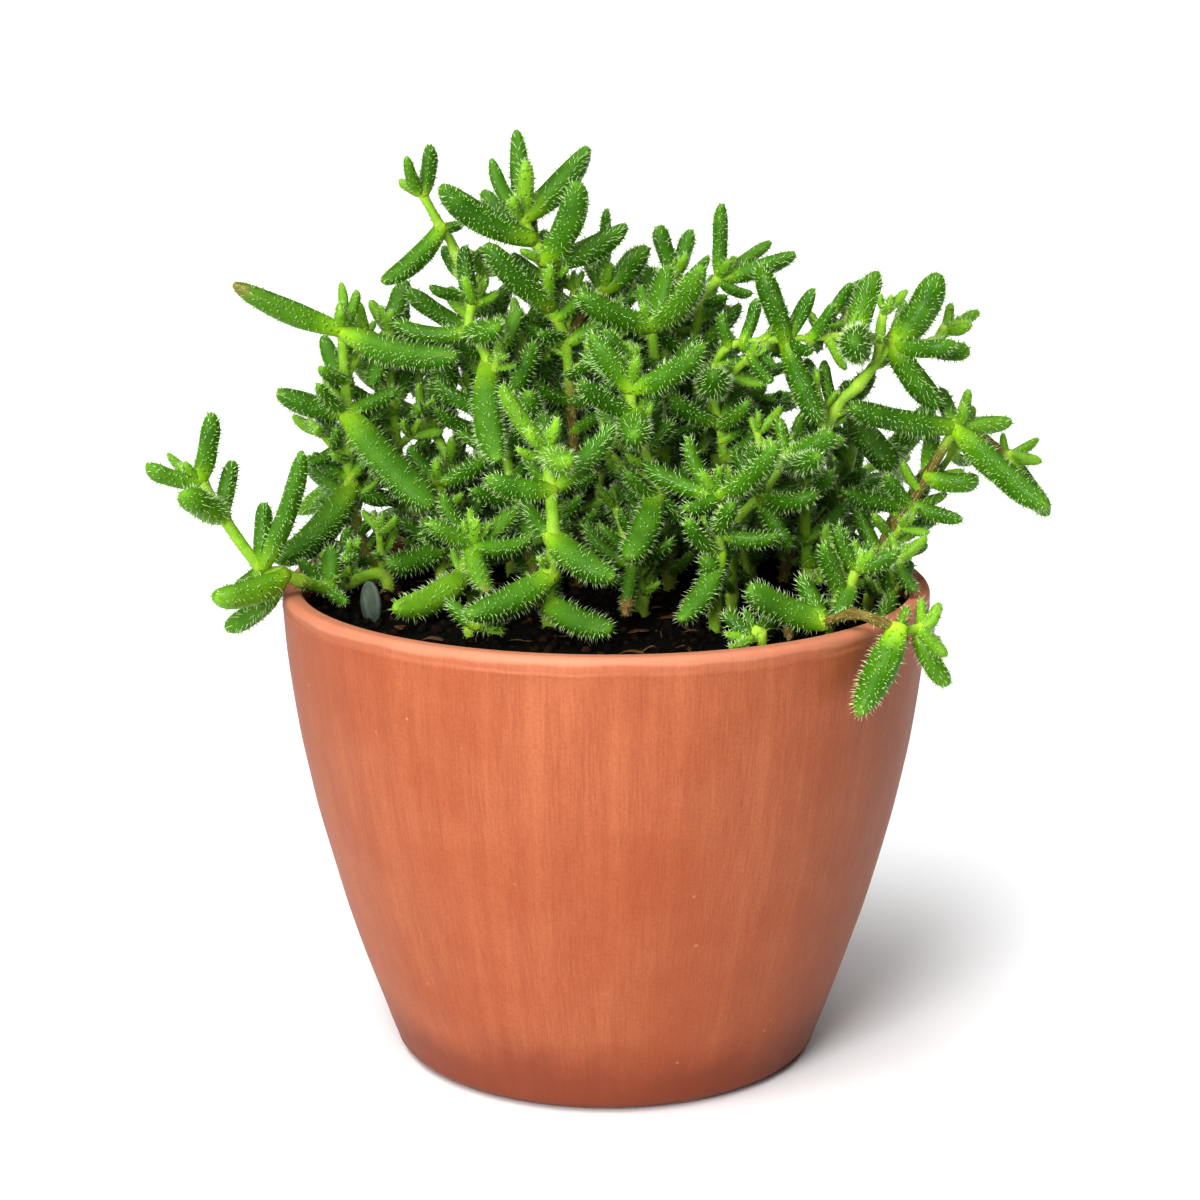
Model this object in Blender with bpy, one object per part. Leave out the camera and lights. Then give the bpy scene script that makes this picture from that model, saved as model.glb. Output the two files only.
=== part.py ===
"""A potted pickle plant: a round clay pot, its soil, a pebble, and leafy stems with fat bristly leaves.

Lengths are in millimetres up to new_object, which writes metres. X runs to the right, Y away from the
viewer and Z up. The origin is the middle of the pot's flat foot."""

import itertools
import math
import random

import bmesh
import bpy
import numpy as np
from mathutils import Matrix, Vector

MILLIMETRE = 0.001

# The pot
POT_HEIGHT = 97.0
RIM_RADIUS = 65.0
FOOT_TAPER = 22.65  # how much narrower the wall is at the foot than at the rim
WALL_CURVE = 1.7  # the taper's exponent: above 1 the wall bellies out towards the rim
WALL = 4.0
FLOOR = 6.0
FLOOR_CORNER = 4.0
FOOT_CORNER = 5.0
FOOT_BENDS = 2
LIP_HEIGHT = 3.0
LIP_STEP = 0.5  # how far the wall is set in below the rolled lip
LIP_ROUND = 1.2
OUTER_HEIGHTS = (14.0, 28.0, 46.0, 68.0)  # where the faceted outer wall bends, between foot and lip
POT_SIDES = 32

# The soil and the pebble
SOIL_TOP = 92.0
SOIL_RELIEF = 0.9
SOIL_WAVES = (9.0, 11.0)  # the lengths that set its rises and dips along X and Y
SOIL_SIDES = POT_SIDES // 2  # its corners meet every other corner of the pot
SOIL_RINGS = (50.0, 30.0, 0.0)  # the circles of the soil's top, whose points rise and fall
SIDE_HEIGHTS = (12.0, 40.0, 68.0, SOIL_TOP)  # where the pot's inner wall and the soil's side bend
GAP = 0.3  # between pieces that touch on the real plant
HOLE_DEPTH = 10.0
HOLE_SIDES = 5
PEBBLE_AT = (-46.3, -14.5, 95.3)
PEBBLE_SIZE = (2.6, 7.0, 9.4)
PEBBLE_TURN = math.radians(35)
PEBBLE_BALLS = ((0.0, 0.0, -3.0), (0.0, 0.0, 0.0), (0.0, 0.0, 2.0))  # what keeps leaves off the pebble
PEBBLE_BALL = 3.2

# The front view in which the stems were laid out, in pixels of a picture 1200 wide and high
FOCAL_PIXELS = 2700.0
PICTURE_MIDDLE = 600.0
POT_AXIS_PIXEL = 606.0
VIEW_DISTANCE = 546.0
VIEW_PITCH = math.radians(13.0)
VIEW_HEIGHT = 92.7  # the height that the picture's middle looks at, on the pot's axis

# Leaves and stems
LEAF_FACES = [  # the least width of a leaf, its sides, its rings and its bristles
    (5.0, 5, (0.34, 0.8), 1),
    (4.4, 4, (0.36, 0.8), 1),
    (4.0, 4, (0.36, 0.8), 0),
    (0.0, 4, (0.55,), 0),
]
CORNER_STAND = 1.12  # how far a leaf's corners may stand out past its round thickness
LEAF_NECK = 0.46  # a leaf's width at its base, as a share of its full width
LEAF_FULL = 0.5  # the share of its length where it is full
LEAF_BLUNT = 0.7  # the share where its tip begins to round off
LONGEST_LEAF = 29.0
LEAF_SAG = 0.07  # how far a leaf's middle hangs below the line from base to tip, as a share of that line
ROOT_SINK = 0.8  # how far a leaf's root goes past the stem's axis, as a share of the stem's radius
STEM_SIDES = 4
STEM_ACROSS = (1.0, 0.2, 0.0)  # the way from which a stem's sides are set out
LONG_STRETCH = 24.0  # a stem's stretch between nodes gets a middle ring past this length
BRISTLE_LENGTH = 1.4
BRISTLE_BASE = 0.16  # the share of a leaf's face that a bristle stands on
CLEARANCE = 0.42  # the least space between the rows of balls that stand for leaves and stems
OWN_CLEARANCE = 0.15
OWN_NODE_REACH = 5.0  # leaves of one stem may touch this near to the node that they grow from
BALL_COUNT = 11
LAST_BALL = 0.96  # the share of a leaf's length where its last ball lies
BRISTLE_BALL = 0.15
NO_OWNER = -1
ODD_WAY = (0.3, 0.5, 0.8)  # a direction that no stem follows, from which a stem's sides are measured
SOIL_EXIT = 4.0  # how far above the soil a stem's first free point lies

# Each stem: where it stands in the soil (x, y in mm), its radius, and its nodes from the root up. A node is
# (pixel x, pixel y, mm behind the pot's axis, leaves), and a leaf is (pixel x and y of its tip, how far the
# tip lies behind the node in mm, width in pixels). A branch starts from the main stem's node that it names.
STEMS = {
    "stem_high_left": dict(
        root=(-48, 17),
        radius=1.2,
        nodes=[
            (365, 554, 17, []),
            (350, 484, 15, [(275, 560, -19, 35), (392, 500, 2, 20), (331, 461, 0, 10)]),
            (347, 410, 12, [(277, 391, -4, 27), (434, 507, -14, 37), (318, 384, -2, 15), (399, 388, -3, 18)]),
            (342, 328, 10, [(233, 283, -6, 29), (458, 355, -13, 31), (357, 290, 0, 13), (341, 282, 3, 10)]),
        ],
    ),
    "stem_far_left": dict(
        root=(-45, 7),
        radius=1.2,
        nodes=[
            (348, 583, 3, []),
            (327, 588, -5, [(331, 545, 2, 20), (352, 613, -8, 18)]),
            (298, 580, -13, []),
            (281, 573, -15, [(213, 596, -8, 32), (225, 628, 3, 24)]),
            (260, 567, -16, [(263, 502, 3, 22), (287, 432, -4, 26), (236, 592, -6, 19)]),
            (222, 516, -18, [(232, 460, 3, 20), (182, 492, -12, 28)]),
            (200, 478, -18, [(211, 412, 0, 24), (145, 464, -3, 22), (167, 453, 1, 12), (184, 462, -3, 10)]),
        ],
    ),
    "stem_slim_left": dict(
        root=(-20, 24),
        radius=1.0,
        nodes=[
            (494, 430, 22, []),
            (474, 330, 20, [(408, 289, 0, 22)]),
            (455, 252, 17, []),
            (440, 226, 15, [(381, 282, -6, 24), (464, 222, 3, 14)]),
            (422, 193, 14, [(429, 144, 0, 19), (406, 156, -2, 13)]),
        ],
    ),
    "stem_inner_left": dict(
        root=(-35, 27),
        radius=1.0,
        nodes=[
            (405, 480, 25, [(440, 440, 6, 22)]),
            (393, 405, 23, [(414, 352, 3, 20)]),
            (388, 330, 21, [(406, 280, 0, 20), (370, 386, 2, 20), (371, 300, 4, 12)]),
        ],
    ),
    "stem_crown": dict(
        root=(-6, 14),
        radius=1.2,
        nodes=[
            (575, 470, 12, [(545, 500, -4, 22)]),
            (571, 398, 10, [(531, 377, -4, 18), (610, 380, 4, 20)]),
            (565, 340, 8, []),
            (550, 303, 6, [(487, 243, -5, 30), (545, 264, -6, 15)]),
            (543, 258, 5, [(577, 181, -7, 33), (627, 224, 5, 29)]),
            (531, 236, 5, [(440, 185, -6, 32), (483, 190, 9, 19)]),
            (521, 214, 4, [(588, 146, 7, 31), (525, 160, -4, 20), (491, 158, 1, 15), (539, 131, 9, 20)]),
        ],
        branches=[
            (
                2,
                [
                    (588, 306, 15, []),
                    (603, 288, 17, [(648, 246, 3, 25), (607, 208, 6, 15), (591, 268, 0, 12)]),
                ],
            ),
        ],
    ),
    "stem_centre_right": dict(
        root=(13, 9),
        radius=1.2,
        nodes=[
            (664, 440, 8, [(705, 420, -3, 20)]),
            (656, 380, 7, []),
            (652, 323, 5, [(667, 265, 2, 24), (702, 265, -5, 30), (579, 292, -7, 30), (640, 285, 4, 14)]),
        ],
    ),
    "stem_behind_right": dict(
        root=(20, 30),
        radius=1.0,
        nodes=[
            (684, 400, 28, [(640, 370, 4, 22)]),
            (678, 330, 25, [(735, 315, 3, 20)]),
            (676, 274, 23, [(659, 225, 0, 20), (691, 229, 2, 17)]),
        ],
    ),
    "stem_top_right": dict(
        root=(30, 20),
        radius=1.1,
        nodes=[
            (704, 420, 18, []),
            (694, 350, 17, [(745, 340, 4, 20)]),
            (704, 302, 16, []),
            (720, 277, 15, [(722, 203, 0, 18), (796, 253, 0, 22), (771, 241, 7, 14), (752, 293, -5, 14)]),
        ],
    ),
    "stem_runner": dict(
        root=(29, 3),
        radius=1.0,
        nodes=[
            (718, 420, 0, []),
            (713, 376, -1, [(713, 372, -16, 34)]),
            (730, 346, -1, [(722, 312, 0, 15)]),
            (787, 339, -2, [(761, 264, -3, 27), (821, 422, -8, 28)]),
            (833, 337, 0, []),
            (856, 334, 3, [(854, 340, -15, 37), (877, 271, 6, 28)]),
        ],
    ),
    "stem_right_crown": dict(
        root=(41, 2),
        radius=1.2,
        nodes=[
            (806, 492, -2, []),
            (835, 410, -2, [(872, 370, 4, 22), (824, 360, 4, 14)]),
            (858, 386, -2, []),
            (893, 340, 0, [(940, 273, 0, 32), (955, 333, -3, 20), (958, 391, -8, 31), (905, 300, 6, 14)]),
        ],
        branches=[
            (
                3,
                [
                    (930, 345, 8, [(970, 351, -3, 19)]),
                    (946, 328, 10, [(979, 311, 2, 15), (971, 324, -3, 14)]),
                ],
            ),
        ],
    ),
    "stem_far_right": dict(
        root=(49, -1),
        radius=1.1,
        nodes=[
            (874, 560, 0, []),
            (893, 524, 0, []),
            (911, 503, 0, [(963, 519, -3, 20), (841, 490, -3, 20), (884, 471, -4, 18), (947, 493, 3, 12)]),
            (928, 474, 0, [(979, 478, -2, 24), (934, 424, 5, 18)]),
            (
                957, 425, 0,
                [
                    (1012, 420, 0, 22), (942, 388, 3, 18), (969, 389, -2, 13),
                    (850, 405, -7, 28), (1022, 529, -6, 33),
                ],
            ),
        ],
        branches=[
            (
                4,
                [
                    (985, 441, 7, []),
                    (
                        1008, 455, 9,
                        [(1050, 515, 0, 24), (1039, 438, 2, 12), (1042, 461, -3, 13), (1003, 433, 0, 9)],
                    ),
                ],
            ),
        ],
    ),
    "stem_dark_right": dict(
        root=(38, 20),
        radius=1.1,
        nodes=[
            (838, 500, 17, [(800, 470, 2, 22)]),
            (858, 424, 14, [(897, 468, -6, 32), (919, 459, 3, 25), (846, 380, 4, 18)]),
        ],
    ),
    "stem_mid_right": dict(
        root=(25, -10),
        radius=1.1,
        nodes=[
            (734, 528, -13, []),
            (760, 496, -12, [(791, 548, -6, 22), (735, 450, 5, 20)]),
            (785, 458, -12, [(833, 432, -4, 28), (780, 418, 2, 16), (801, 414, 6, 14), (820, 474, -5, 18)]),
        ],
    ),
    "stem_front_right": dict(
        root=(21, -25),
        radius=1.1,
        nodes=[
            (718, 572, -25, []),
            (718, 551, -25, [(679, 621, -7, 25)]),
            (719, 529, -24, [(781, 535, -3, 20)]),
            (717, 493, -24, [(773, 463, 2, 20), (684, 507, -6, 20), (688, 436, 2, 18), (719, 466, -3, 11)]),
        ],
    ),
    "stem_front_centre": dict(
        root=(-11, -24),
        radius=1.35,
        nodes=[
            (546, 599, -29, [(614, 643, -12, 29)]),
            (550, 573, -30, [(465, 615, -8, 33)]),
            (553, 535, -32, [(615, 578, -9, 33), (526, 505, 4, 20)]),
            (550, 486, -32, [(486, 477, -4, 27), (613, 425, 5, 26)]),
            (546, 446, -32, [(501, 384, 0, 23), (568, 459, -13, 28), (557, 417, -2, 14), (527, 428, -5, 14)]),
        ],
    ),
    "stem_centre": dict(
        root=(7, -11),
        radius=1.25,
        nodes=[
            (634, 560, -12, [(624, 623, -7, 16)]),
            (655, 492, -14, [(627, 559, -8, 27), (685, 520, 3, 20)]),
            (642, 449, -14, [(672, 420, 4, 18)]),
            (632, 412, -14, [(634, 434, -15, 34)]),
            (630, 386, -14, [(591, 333, -2, 28), (704, 343, -3, 28), (637, 357, -3, 15)]),
        ],
    ),
    "stem_low_light": dict(
        root=(-27, 2),
        radius=1.3,
        nodes=[
            (464, 573, -6, [(400, 618, -20, 30), (512, 533, 8, 18)]),
            (
                472, 541, -9,
                [
                    (429, 521, -4, 22), (516, 510, 3, 20), (488, 592, -12, 22),
                    (478, 519, -3, 15), (470, 508, 3, 9),
                ],
            ),
        ],
    ),
    "stem_left_shade": dict(
        root=(-34, 12),
        radius=1.0,
        nodes=[
            (446, 540, 10, [(386, 563, -8, 27), (405, 520, 5, 20)]),
            (440, 480, 10, [(480, 455, 3, 22), (410, 445, 2, 20)]),
        ],
    ),
    "stem_left_mid": dict(
        root=(-14, 1),
        radius=1.1,
        nodes=[
            (515, 500, 3, [(540, 545, -4, 22)]),
            (499, 410, 5, [(535, 340, 3, 22)]),
            (488, 360, 5, [(498, 461, -9, 28)]),
            (470, 328, 5, [(394, 321, 3, 22), (498, 326, -12, 27)]),
            (473, 300, 5, [(465, 245, 0, 22), (499, 291, 2, 13)]),
        ],
    ),
    "stem_right_low": dict(
        root=(43, -29),
        radius=1.0,
        nodes=[
            (850, 584, -31, [(836, 617, -7, 19)]),
            (856, 567, -31, [(838, 523, 0, 18), (899, 550, -2, 20)]),
        ],
    ),
    "stem_over_rim": dict(
        root=(35, -35),
        radius=1.2,
        nodes=[
            (824, 622, -38, [(748, 587, 5, 29), (801, 574, 6, 24)]),
            (852, 614, -43, []),
            (876, 620, -43.5, []),
            (898, 630, -43, [(858, 715, -7, 37), (907, 606, 3, 13)]),
            (920, 628, -40, [(948, 686, -2, 23), (947, 655, -5, 15), (921, 598, 3, 12), (940, 603, 2, 14)]),
        ],
    ),
    "stem_right_rim": dict(
        root=(52, -12),
        radius=1.0,
        nodes=[
            (893, 590, -14, [(883, 560, 2, 17), (881, 618, -8, 20)]),
            (899, 560, -12, [(926, 536, 0, 12), (915, 590, -6, 17)]),
        ],
    ),
    "stem_low_front": dict(
        root=(29, -41),
        radius=1.0,
        nodes=[
            (752, 636, -41, [(724, 613, 3, 20), (790, 604, 5, 20), (745, 611, 8, 16)]),
        ],
    ),
    "stem_low_left": dict(
        root=(-26, -33),
        radius=1.0,
        nodes=[
            (479, 623, -34, [(511, 643, -5, 20), (449, 600, 4, 20), (486, 597, 5, 14)]),
        ],
    ),
}

# The stems of the back, which the front view doesn't show: rings of (how many, root distance, tip distance,
# tip height, first and last bearing). Bearings are in degrees from +X through +Y, which is straight back.
BACK_RINGS = [
    (3, 17, 27, 146, 40, 150),
    (4, 34, 52, 132, 42, 156),
    (6, 47, 76, 112, 22, 150),
]
BACK_SEED = 7
BACK_STEM_RADIUS = 1.1
BACK_BEARING_SPREAD = 6.0  # how far chance moves a back stem's bearing, tip and nodes
BACK_OUT_SPREAD = 5.0
BACK_HEIGHT_SPREAD = 7.0
BACK_SIDE_SPREAD = 2.0
BACK_RISE = 0.75  # exponents: a back stem rises first and leans out later
BACK_LEAN = 1.3
BACK_NODE_STEP = 14.0
BACK_LEAF_LENGTH = (14.0, 21.0)
LEAF_SLIMNESS = 3.4  # length over width
LEAF_ANGLE = (48.0, 68.0)  # between a leaf and its stem, in degrees

# The shaded leaves in the middle of the plant, which fill it between the leaves that the view shows
CORE_MIDDLE = (2.0, 4.0, 112.0)
CORE_SIZE = (42.0, 34.0, 36.0)
CORE_LEAF_LENGTH = (11.0, 15.0)
CORE_STRETCH = 16.0  # a stem's stretch between nodes gets a pair of its own in the middle past this length
TUFT = (5.4, 2.4, 30.0)  # the pair of young leaves at a tip: length, width, angle from the stem

GREEN = (0.12, 0.30, 0.03, 1.0)
COPPER = (0.50, 0.17, 0.08, 1.0)
BLACK_EARTH = (0.012, 0.008, 0.005, 1.0)
SLATE = (0.16, 0.18, 0.19, 1.0)


def unit(vector):
    return vector / max(np.linalg.norm(vector), 1e-9)


def seen_at(px, py, back):
    """The point that the front view shows at a pixel and that lies back mm behind the pot's axis."""
    c, s = math.cos(VIEW_PITCH), math.sin(VIEW_PITCH)
    rise = (PICTURE_MIDDLE - py) / FOCAL_PIXELS
    up = (rise * (VIEW_DISTANCE + back * c) - back * s) / (c + rise * s)
    depth = VIEW_DISTANCE + back * c - up * s
    return np.array([(px - POT_AXIS_PIXEL) * depth / FOCAL_PIXELS, back, VIEW_HEIGHT + up])


def sight(point):
    """The direction in which the front view looks at a point."""
    eye_x = (PICTURE_MIDDLE - POT_AXIS_PIXEL) * VIEW_DISTANCE / FOCAL_PIXELS
    eye_y = -VIEW_DISTANCE * math.cos(VIEW_PITCH)
    eye_z = VIEW_HEIGHT + VIEW_DISTANCE * math.sin(VIEW_PITCH)
    return unit(point - np.array([eye_x, eye_y, eye_z]))


def turned(vector, axis, degrees):
    return np.array(Matrix.Rotation(math.radians(degrees), 3, Vector(axis)) @ Vector(vector))


# Making objects


def new_object(name, bm, material):
    """Turn a mesh in millimetres into an object in metres."""
    bmesh.ops.scale(bm, vec=(MILLIMETRE,) * 3, verts=bm.verts)
    bmesh.ops.recalc_face_normals(bm, faces=bm.faces)
    mesh = bpy.data.meshes.new(name)
    bm.to_mesh(mesh)
    bm.free()
    mesh.materials.append(material)
    mesh.shade_smooth()
    mesh.set_sharp_from_angle(angle=math.radians(50))
    thing = bpy.data.objects.new(name, mesh)
    bpy.context.scene.collection.objects.link(thing)
    return thing


def new_material(name, colour, roughness):
    material = bpy.data.materials.new(name)
    material.use_nodes = True
    shader = material.node_tree.nodes["Principled BSDF"]
    shader.inputs["Base Color"].default_value = colour
    shader.inputs["Roughness"].default_value = roughness
    shader.inputs["Metallic"].default_value = 0.0
    material.diffuse_color = colour
    return material


def add_lathe(bm, profile, sides):
    """Turn a profile of (radius, z) about the pot's axis. Its first and last points lie on the axis."""
    rings = []
    for radius, z in profile:
        if radius == 0.0:
            rings.append([bm.verts.new((0.0, 0.0, z))])
            continue
        ring = []
        for k in range(sides):
            angle = math.tau * k / sides
            ring.append(bm.verts.new((radius * math.cos(angle), radius * math.sin(angle), z)))
        rings.append(ring)
    for low, high in zip(rings, rings[1:]):
        join_rings(bm, low, high)


def join_rings(bm, first, second):
    """Faces between two rings of as many points, or between a ring and a single point."""
    count = max(len(first), len(second))
    for k in range(count):
        corners = [first[k % len(first)], first[(k + 1) % len(first)]]
        corners += [second[(k + 1) % len(second)], second[k % len(second)]]
        bm.faces.new(list(dict.fromkeys(corners)))


def add_tube(bm, points, radii, sides, across):
    """A tube along points. A radius of 0 makes a point, and an end of any other radius gets a flat cap."""
    rings = []
    side = None
    for k, point in enumerate(points):
        ahead = unit(points[min(k + 1, len(points) - 1)] - points[max(k - 1, 0)])
        side = unit(np.cross(across if side is None else np.cross(ahead, side), ahead))
        other = np.cross(ahead, side)
        if radii[k] == 0.0:
            rings.append([bm.verts.new(point)])
            continue
        ring = []
        for j in range(sides):
            angle = math.tau * j / sides
            ring.append(bm.verts.new(point + radii[k] * (math.cos(angle) * side + math.sin(angle) * other)))
        rings.append(ring)
    for low, high in zip(rings, rings[1:]):
        join_rings(bm, low, high)
    for cap in (rings[0][::-1], rings[-1]):
        if len(cap) > 1:
            bm.faces.new(cap)


# The shapes of leaves and stems


def leaf_line(leaf, share):
    """The point at a share of the leaf's length, on a line that hangs a little in the middle."""
    base, tip = leaf["base"], leaf["tip"]
    along = tip - base
    down = np.array([0.0, 0.0, -1.0])
    hang = unit(down - along * np.dot(down, along) / np.dot(along, along))
    sag = LEAF_SAG * np.linalg.norm(along) * np.linalg.norm(unit(along)[:2])
    return base + along * share + hang * sag * 4 * share * (1 - share)


def leaf_radius(share):
    """Half the leaf's thickness over half its width: a narrow neck, a full middle and a blunt tip."""
    neck = LEAF_NECK + (1.0 - LEAF_NECK) * math.sin(math.pi / 2 * min(1.0, share / LEAF_FULL))
    past = max(0.0, (share - LEAF_BLUNT) / (1.0 - LEAF_BLUNT))
    blunt = math.sqrt(max(0.0, 1.0 - past**2))
    return neck * blunt


def corner_factor(sides):
    """How far a polygon's corners stand out where it has about the circle's width."""
    return 2.0 / (1.0 + math.cos(math.pi / sides))


def smooth_route(points, steps):
    """Points on a smooth curve through the given ones, with steps[k] stretches after point k."""
    route = []
    for k in range(len(points) - 1):
        p0, p1 = points[max(k - 1, 0)], points[k]
        p2, p3 = points[k + 1], points[min(k + 2, len(points) - 1)]
        for step in range(steps[k]):
            t = step / steps[k]
            bend = (2 * p0 - 5 * p1 + 4 * p2 - p3) * t**2
            curve = (p2 - p0) * t + bend + (3 * p1 - p0 - 3 * p2 + p3) * t**3
            route.append(p1 + 0.5 * curve)
    route.append(points[-1])
    return route


# Keeping the stems apart: each leaf and stem is tested as a row of balls


class Balls:
    """The balls of all leaves and stems so far, with the stem that each belongs to."""

    def __init__(self):
        self.centres = np.zeros((0, 3))
        self.radii = np.zeros(0)
        self.owners = np.zeros(0, int)

    def add(self, centres, radii, owner):
        self.centres = np.vstack([self.centres, centres])
        self.radii = np.append(self.radii, radii)
        self.owners = np.append(self.owners, np.full(len(radii), owner))

    def clear(self, centres, radii, owner, node=None):
        """Whether new balls keep clear of other stems and, away from the node, of their own stem."""
        if hits_pot_or_soil(centres, radii):
            return False
        apart = np.linalg.norm(centres[:, None] - self.centres[None], axis=2)
        gaps = apart - radii[:, None] - self.radii[None]
        others = self.owners != owner
        if (gaps[:, others] < CLEARANCE).any():
            return False
        if node is None:
            return True
        own = ~others & (np.linalg.norm(self.centres - node, axis=1) > OWN_NODE_REACH)
        away = np.linalg.norm(centres - node, axis=1) > OWN_NODE_REACH
        return not (gaps[np.ix_(away, own)] < OWN_CLEARANCE).any()


def wall_radius(z):
    """The outer radius of the pot's wall at a height."""
    return RIM_RADIUS - FOOT_TAPER * (1.0 - min(1.0, max(0.0, z / POT_HEIGHT))) ** WALL_CURVE


def hits_pot_or_soil(centres, radii):
    for (x, y, z), radius in zip(centres, radii):
        out = math.hypot(x, y)
        reach = radius + CLEARANCE
        inner, outer = wall_radius(z) - WALL, wall_radius(z)
        beside = max(inner - out, out - outer, 0.0)
        if math.hypot(beside, max(z - POT_HEIGHT, 0.0)) < reach:
            return True
        if out < inner and z - reach - SOIL_RELIEF < SOIL_TOP:
            return True
    return False


def leaf_balls(leaf):
    shares = np.linspace(0.0, LAST_BALL, BALL_COUNT)
    centres = np.array([leaf_line(leaf, share) for share in shares])
    radii = np.array([leaf_radius(share) for share in shares])
    return centres, radii * leaf["width"] / 2 * CORNER_STAND


def route_balls(points, radius):
    radius *= corner_factor(STEM_SIDES)
    centres = []
    for a, b in zip(points, points[1:]):
        count = max(1, math.ceil(np.linalg.norm(b - a) / radius))
        centres += [a + (b - a) * k / count for k in range(count)]
    return np.array(centres + [points[-1]]), np.full(len(centres) + 1, radius)


def leaf_tries():
    """Ways to move a leaf clear, the least change first: along the sight line, turned, and shorter."""
    pushes = (0, -3, 3, -6, 6, -9, 9, -12, 12)
    turns = (0, -8, 8, -16, 16, -24, 24)
    sizes = (1.0, 0.9, 0.8, 0.68)

    def change(entry):
        push, turn, size = entry
        return abs(push) + 0.7 * abs(turn) + 50 * (1 - size)

    return sorted(itertools.product(pushes, turns, sizes), key=change)


LEAF_TRIES = leaf_tries()


def grow_leaf(balls, node, tip, width, sink, owner):
    """The leaf from a node to a tip, moved as little as keeps it clear, or None where nothing does."""
    look = sight(tip)
    for push, turn, size in LEAF_TRIES:
        along = turned(tip + look * push - node, look, turn) * size
        if np.linalg.norm(along) > LONGEST_LEAF:
            continue
        leaf = dict(base=node - unit(along) * sink, tip=node + along, width=width * (0.4 + 0.6 * size))
        centres, radii = leaf_balls(leaf)
        if balls.clear(centres[2:], radii[2:], owner, node):
            balls.add(centres, radii, owner)
            return leaf
    return None


def view_depth(point):
    """How far a point lies from the eye of the front view, along the view's middle line."""
    return VIEW_DISTANCE + point[1] * math.cos(VIEW_PITCH) - (point[2] - VIEW_HEIGHT) * math.sin(VIEW_PITCH)


def route_tries():
    """Ways to move a stem's point clear, the least change first: along the sight line, and sideways."""
    pushes = (0, 2, -2, 4, -4, 6, -6, 8, -8, 11, -11)
    sides = (0, 3, -3, 6, -6)
    return sorted(itertools.product(pushes, sides), key=lambda move: abs(move[0]) + 2 * abs(move[1]))


ROUTE_TRIES = route_tries()


def grow_route(balls, start, points, radius, owner):
    """A stem's route on from start, each point moved as little as keeps its stretch clear."""
    route = list(start)
    for point in points:
        for push, aside in ROUTE_TRIES:
            moved = point + sight(point) * push + np.array([aside, 0.0, 0.0])
            if balls.clear(*route_balls([route[-1], moved], radius), owner):
                break
        else:
            print("no clear way at", np.round(point), "for stem", owner)
            moved = point
        route.append(moved)
    balls.add(*route_balls(smooth_route(route, stem_steps(route)), radius), owner)
    return route


def stem_steps(points):
    return [2 if np.linalg.norm(b - a) > LONG_STRETCH else 1 for a, b in zip(points, points[1:])]


def root_points(x, y):
    """A stem's foot in its hole in the soil, and the point where it leaves the hole."""
    return [np.array([x, y, SOIL_TOP - HOLE_DEPTH + GAP]), np.array([x, y, SOIL_TOP + SOIL_EXIT])]


def front_routes(plan, balls, owner):
    """The routes of a stem of the front view and its branches, and the leaves wanted at their nodes."""
    radius = plan["radius"]
    routes, wanted = [], []
    for start, nodes in [(None, plan["nodes"])] + plan.get("branches", []):
        points = [seen_at(*node[:3]) for node in nodes]
        foot = root_points(*plan["root"]) if start is None else [routes[0][start + 2]]
        route = grow_route(balls, foot, points, radius, owner)
        routes.append(route)
        for k, (_, _, _, leaves) in enumerate(nodes, len(foot)):
            ahead = unit(route[k] - route[k - 1])
            for tip_x, tip_y, behind, pixels in leaves:
                tip = seen_at(tip_x, tip_y, route[k][1] + behind)
                wanted.append((route[k], tip, pixels * view_depth(tip) / FOCAL_PIXELS, ahead))
    return routes, wanted


def back_plans():
    """The routes of the stems of the back, as points from the root up, in rings about the pot's axis."""
    chance = random.Random(BACK_SEED)

    def spread(most):
        return chance.uniform(-most, most)

    for count, root_out, tip_out, tip_height, first, last in BACK_RINGS:
        for k in range(count):
            bearing = math.radians(first + (last - first) * (k + 0.5) / count + spread(BACK_BEARING_SPREAD))
            heading = np.array([math.cos(bearing), math.sin(bearing), 0.0])
            out = tip_out + spread(BACK_OUT_SPREAD)
            height = tip_height + spread(BACK_HEIGHT_SPREAD)
            length = math.hypot(out - root_out, height - SOIL_TOP)
            nodes = max(2, round(length / BACK_NODE_STEP))
            points = []
            for node in range(1, nodes + 1):
                share = node / nodes
                sideways = np.array([spread(BACK_SIDE_SPREAD), spread(BACK_SIDE_SPREAD), 0.0])
                start = SOIL_TOP + SOIL_EXIT
                rise = np.array([0.0, 0.0, start + (height - start) * share**BACK_RISE])
                points.append(heading * (root_out + (out - root_out) * share**BACK_LEAN) + rise + sideways)
            yield tuple(heading[:2] * root_out), points


def leaf_pair(node, ahead, turn, lengths, chance):
    """Two leaves on opposite sides of a stem, turned about it."""
    side = turned(unit(np.cross(ahead, ODD_WAY)), ahead, turn)
    pair = []
    for half in (1, -1):
        lean = math.radians(chance.uniform(*LEAF_ANGLE))
        length = chance.uniform(*lengths)
        tip = node + length * (math.cos(lean) * ahead + half * math.sin(lean) * side)
        pair.append((node, tip, length / LEAF_SLIMNESS, ahead))
    return pair


def crosswise_leaves(route, chance):
    """Pairs of leaves for the nodes of a back stem, each pair a quarter turn from the one below."""
    wanted = []
    turn = chance.uniform(0, 180)
    for k in range(2, len(route)):
        ahead = unit(route[k] - route[k - 1])
        wanted += leaf_pair(route[k], ahead, turn + 90 * k, BACK_LEAF_LENGTH, chance)
    return wanted


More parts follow.
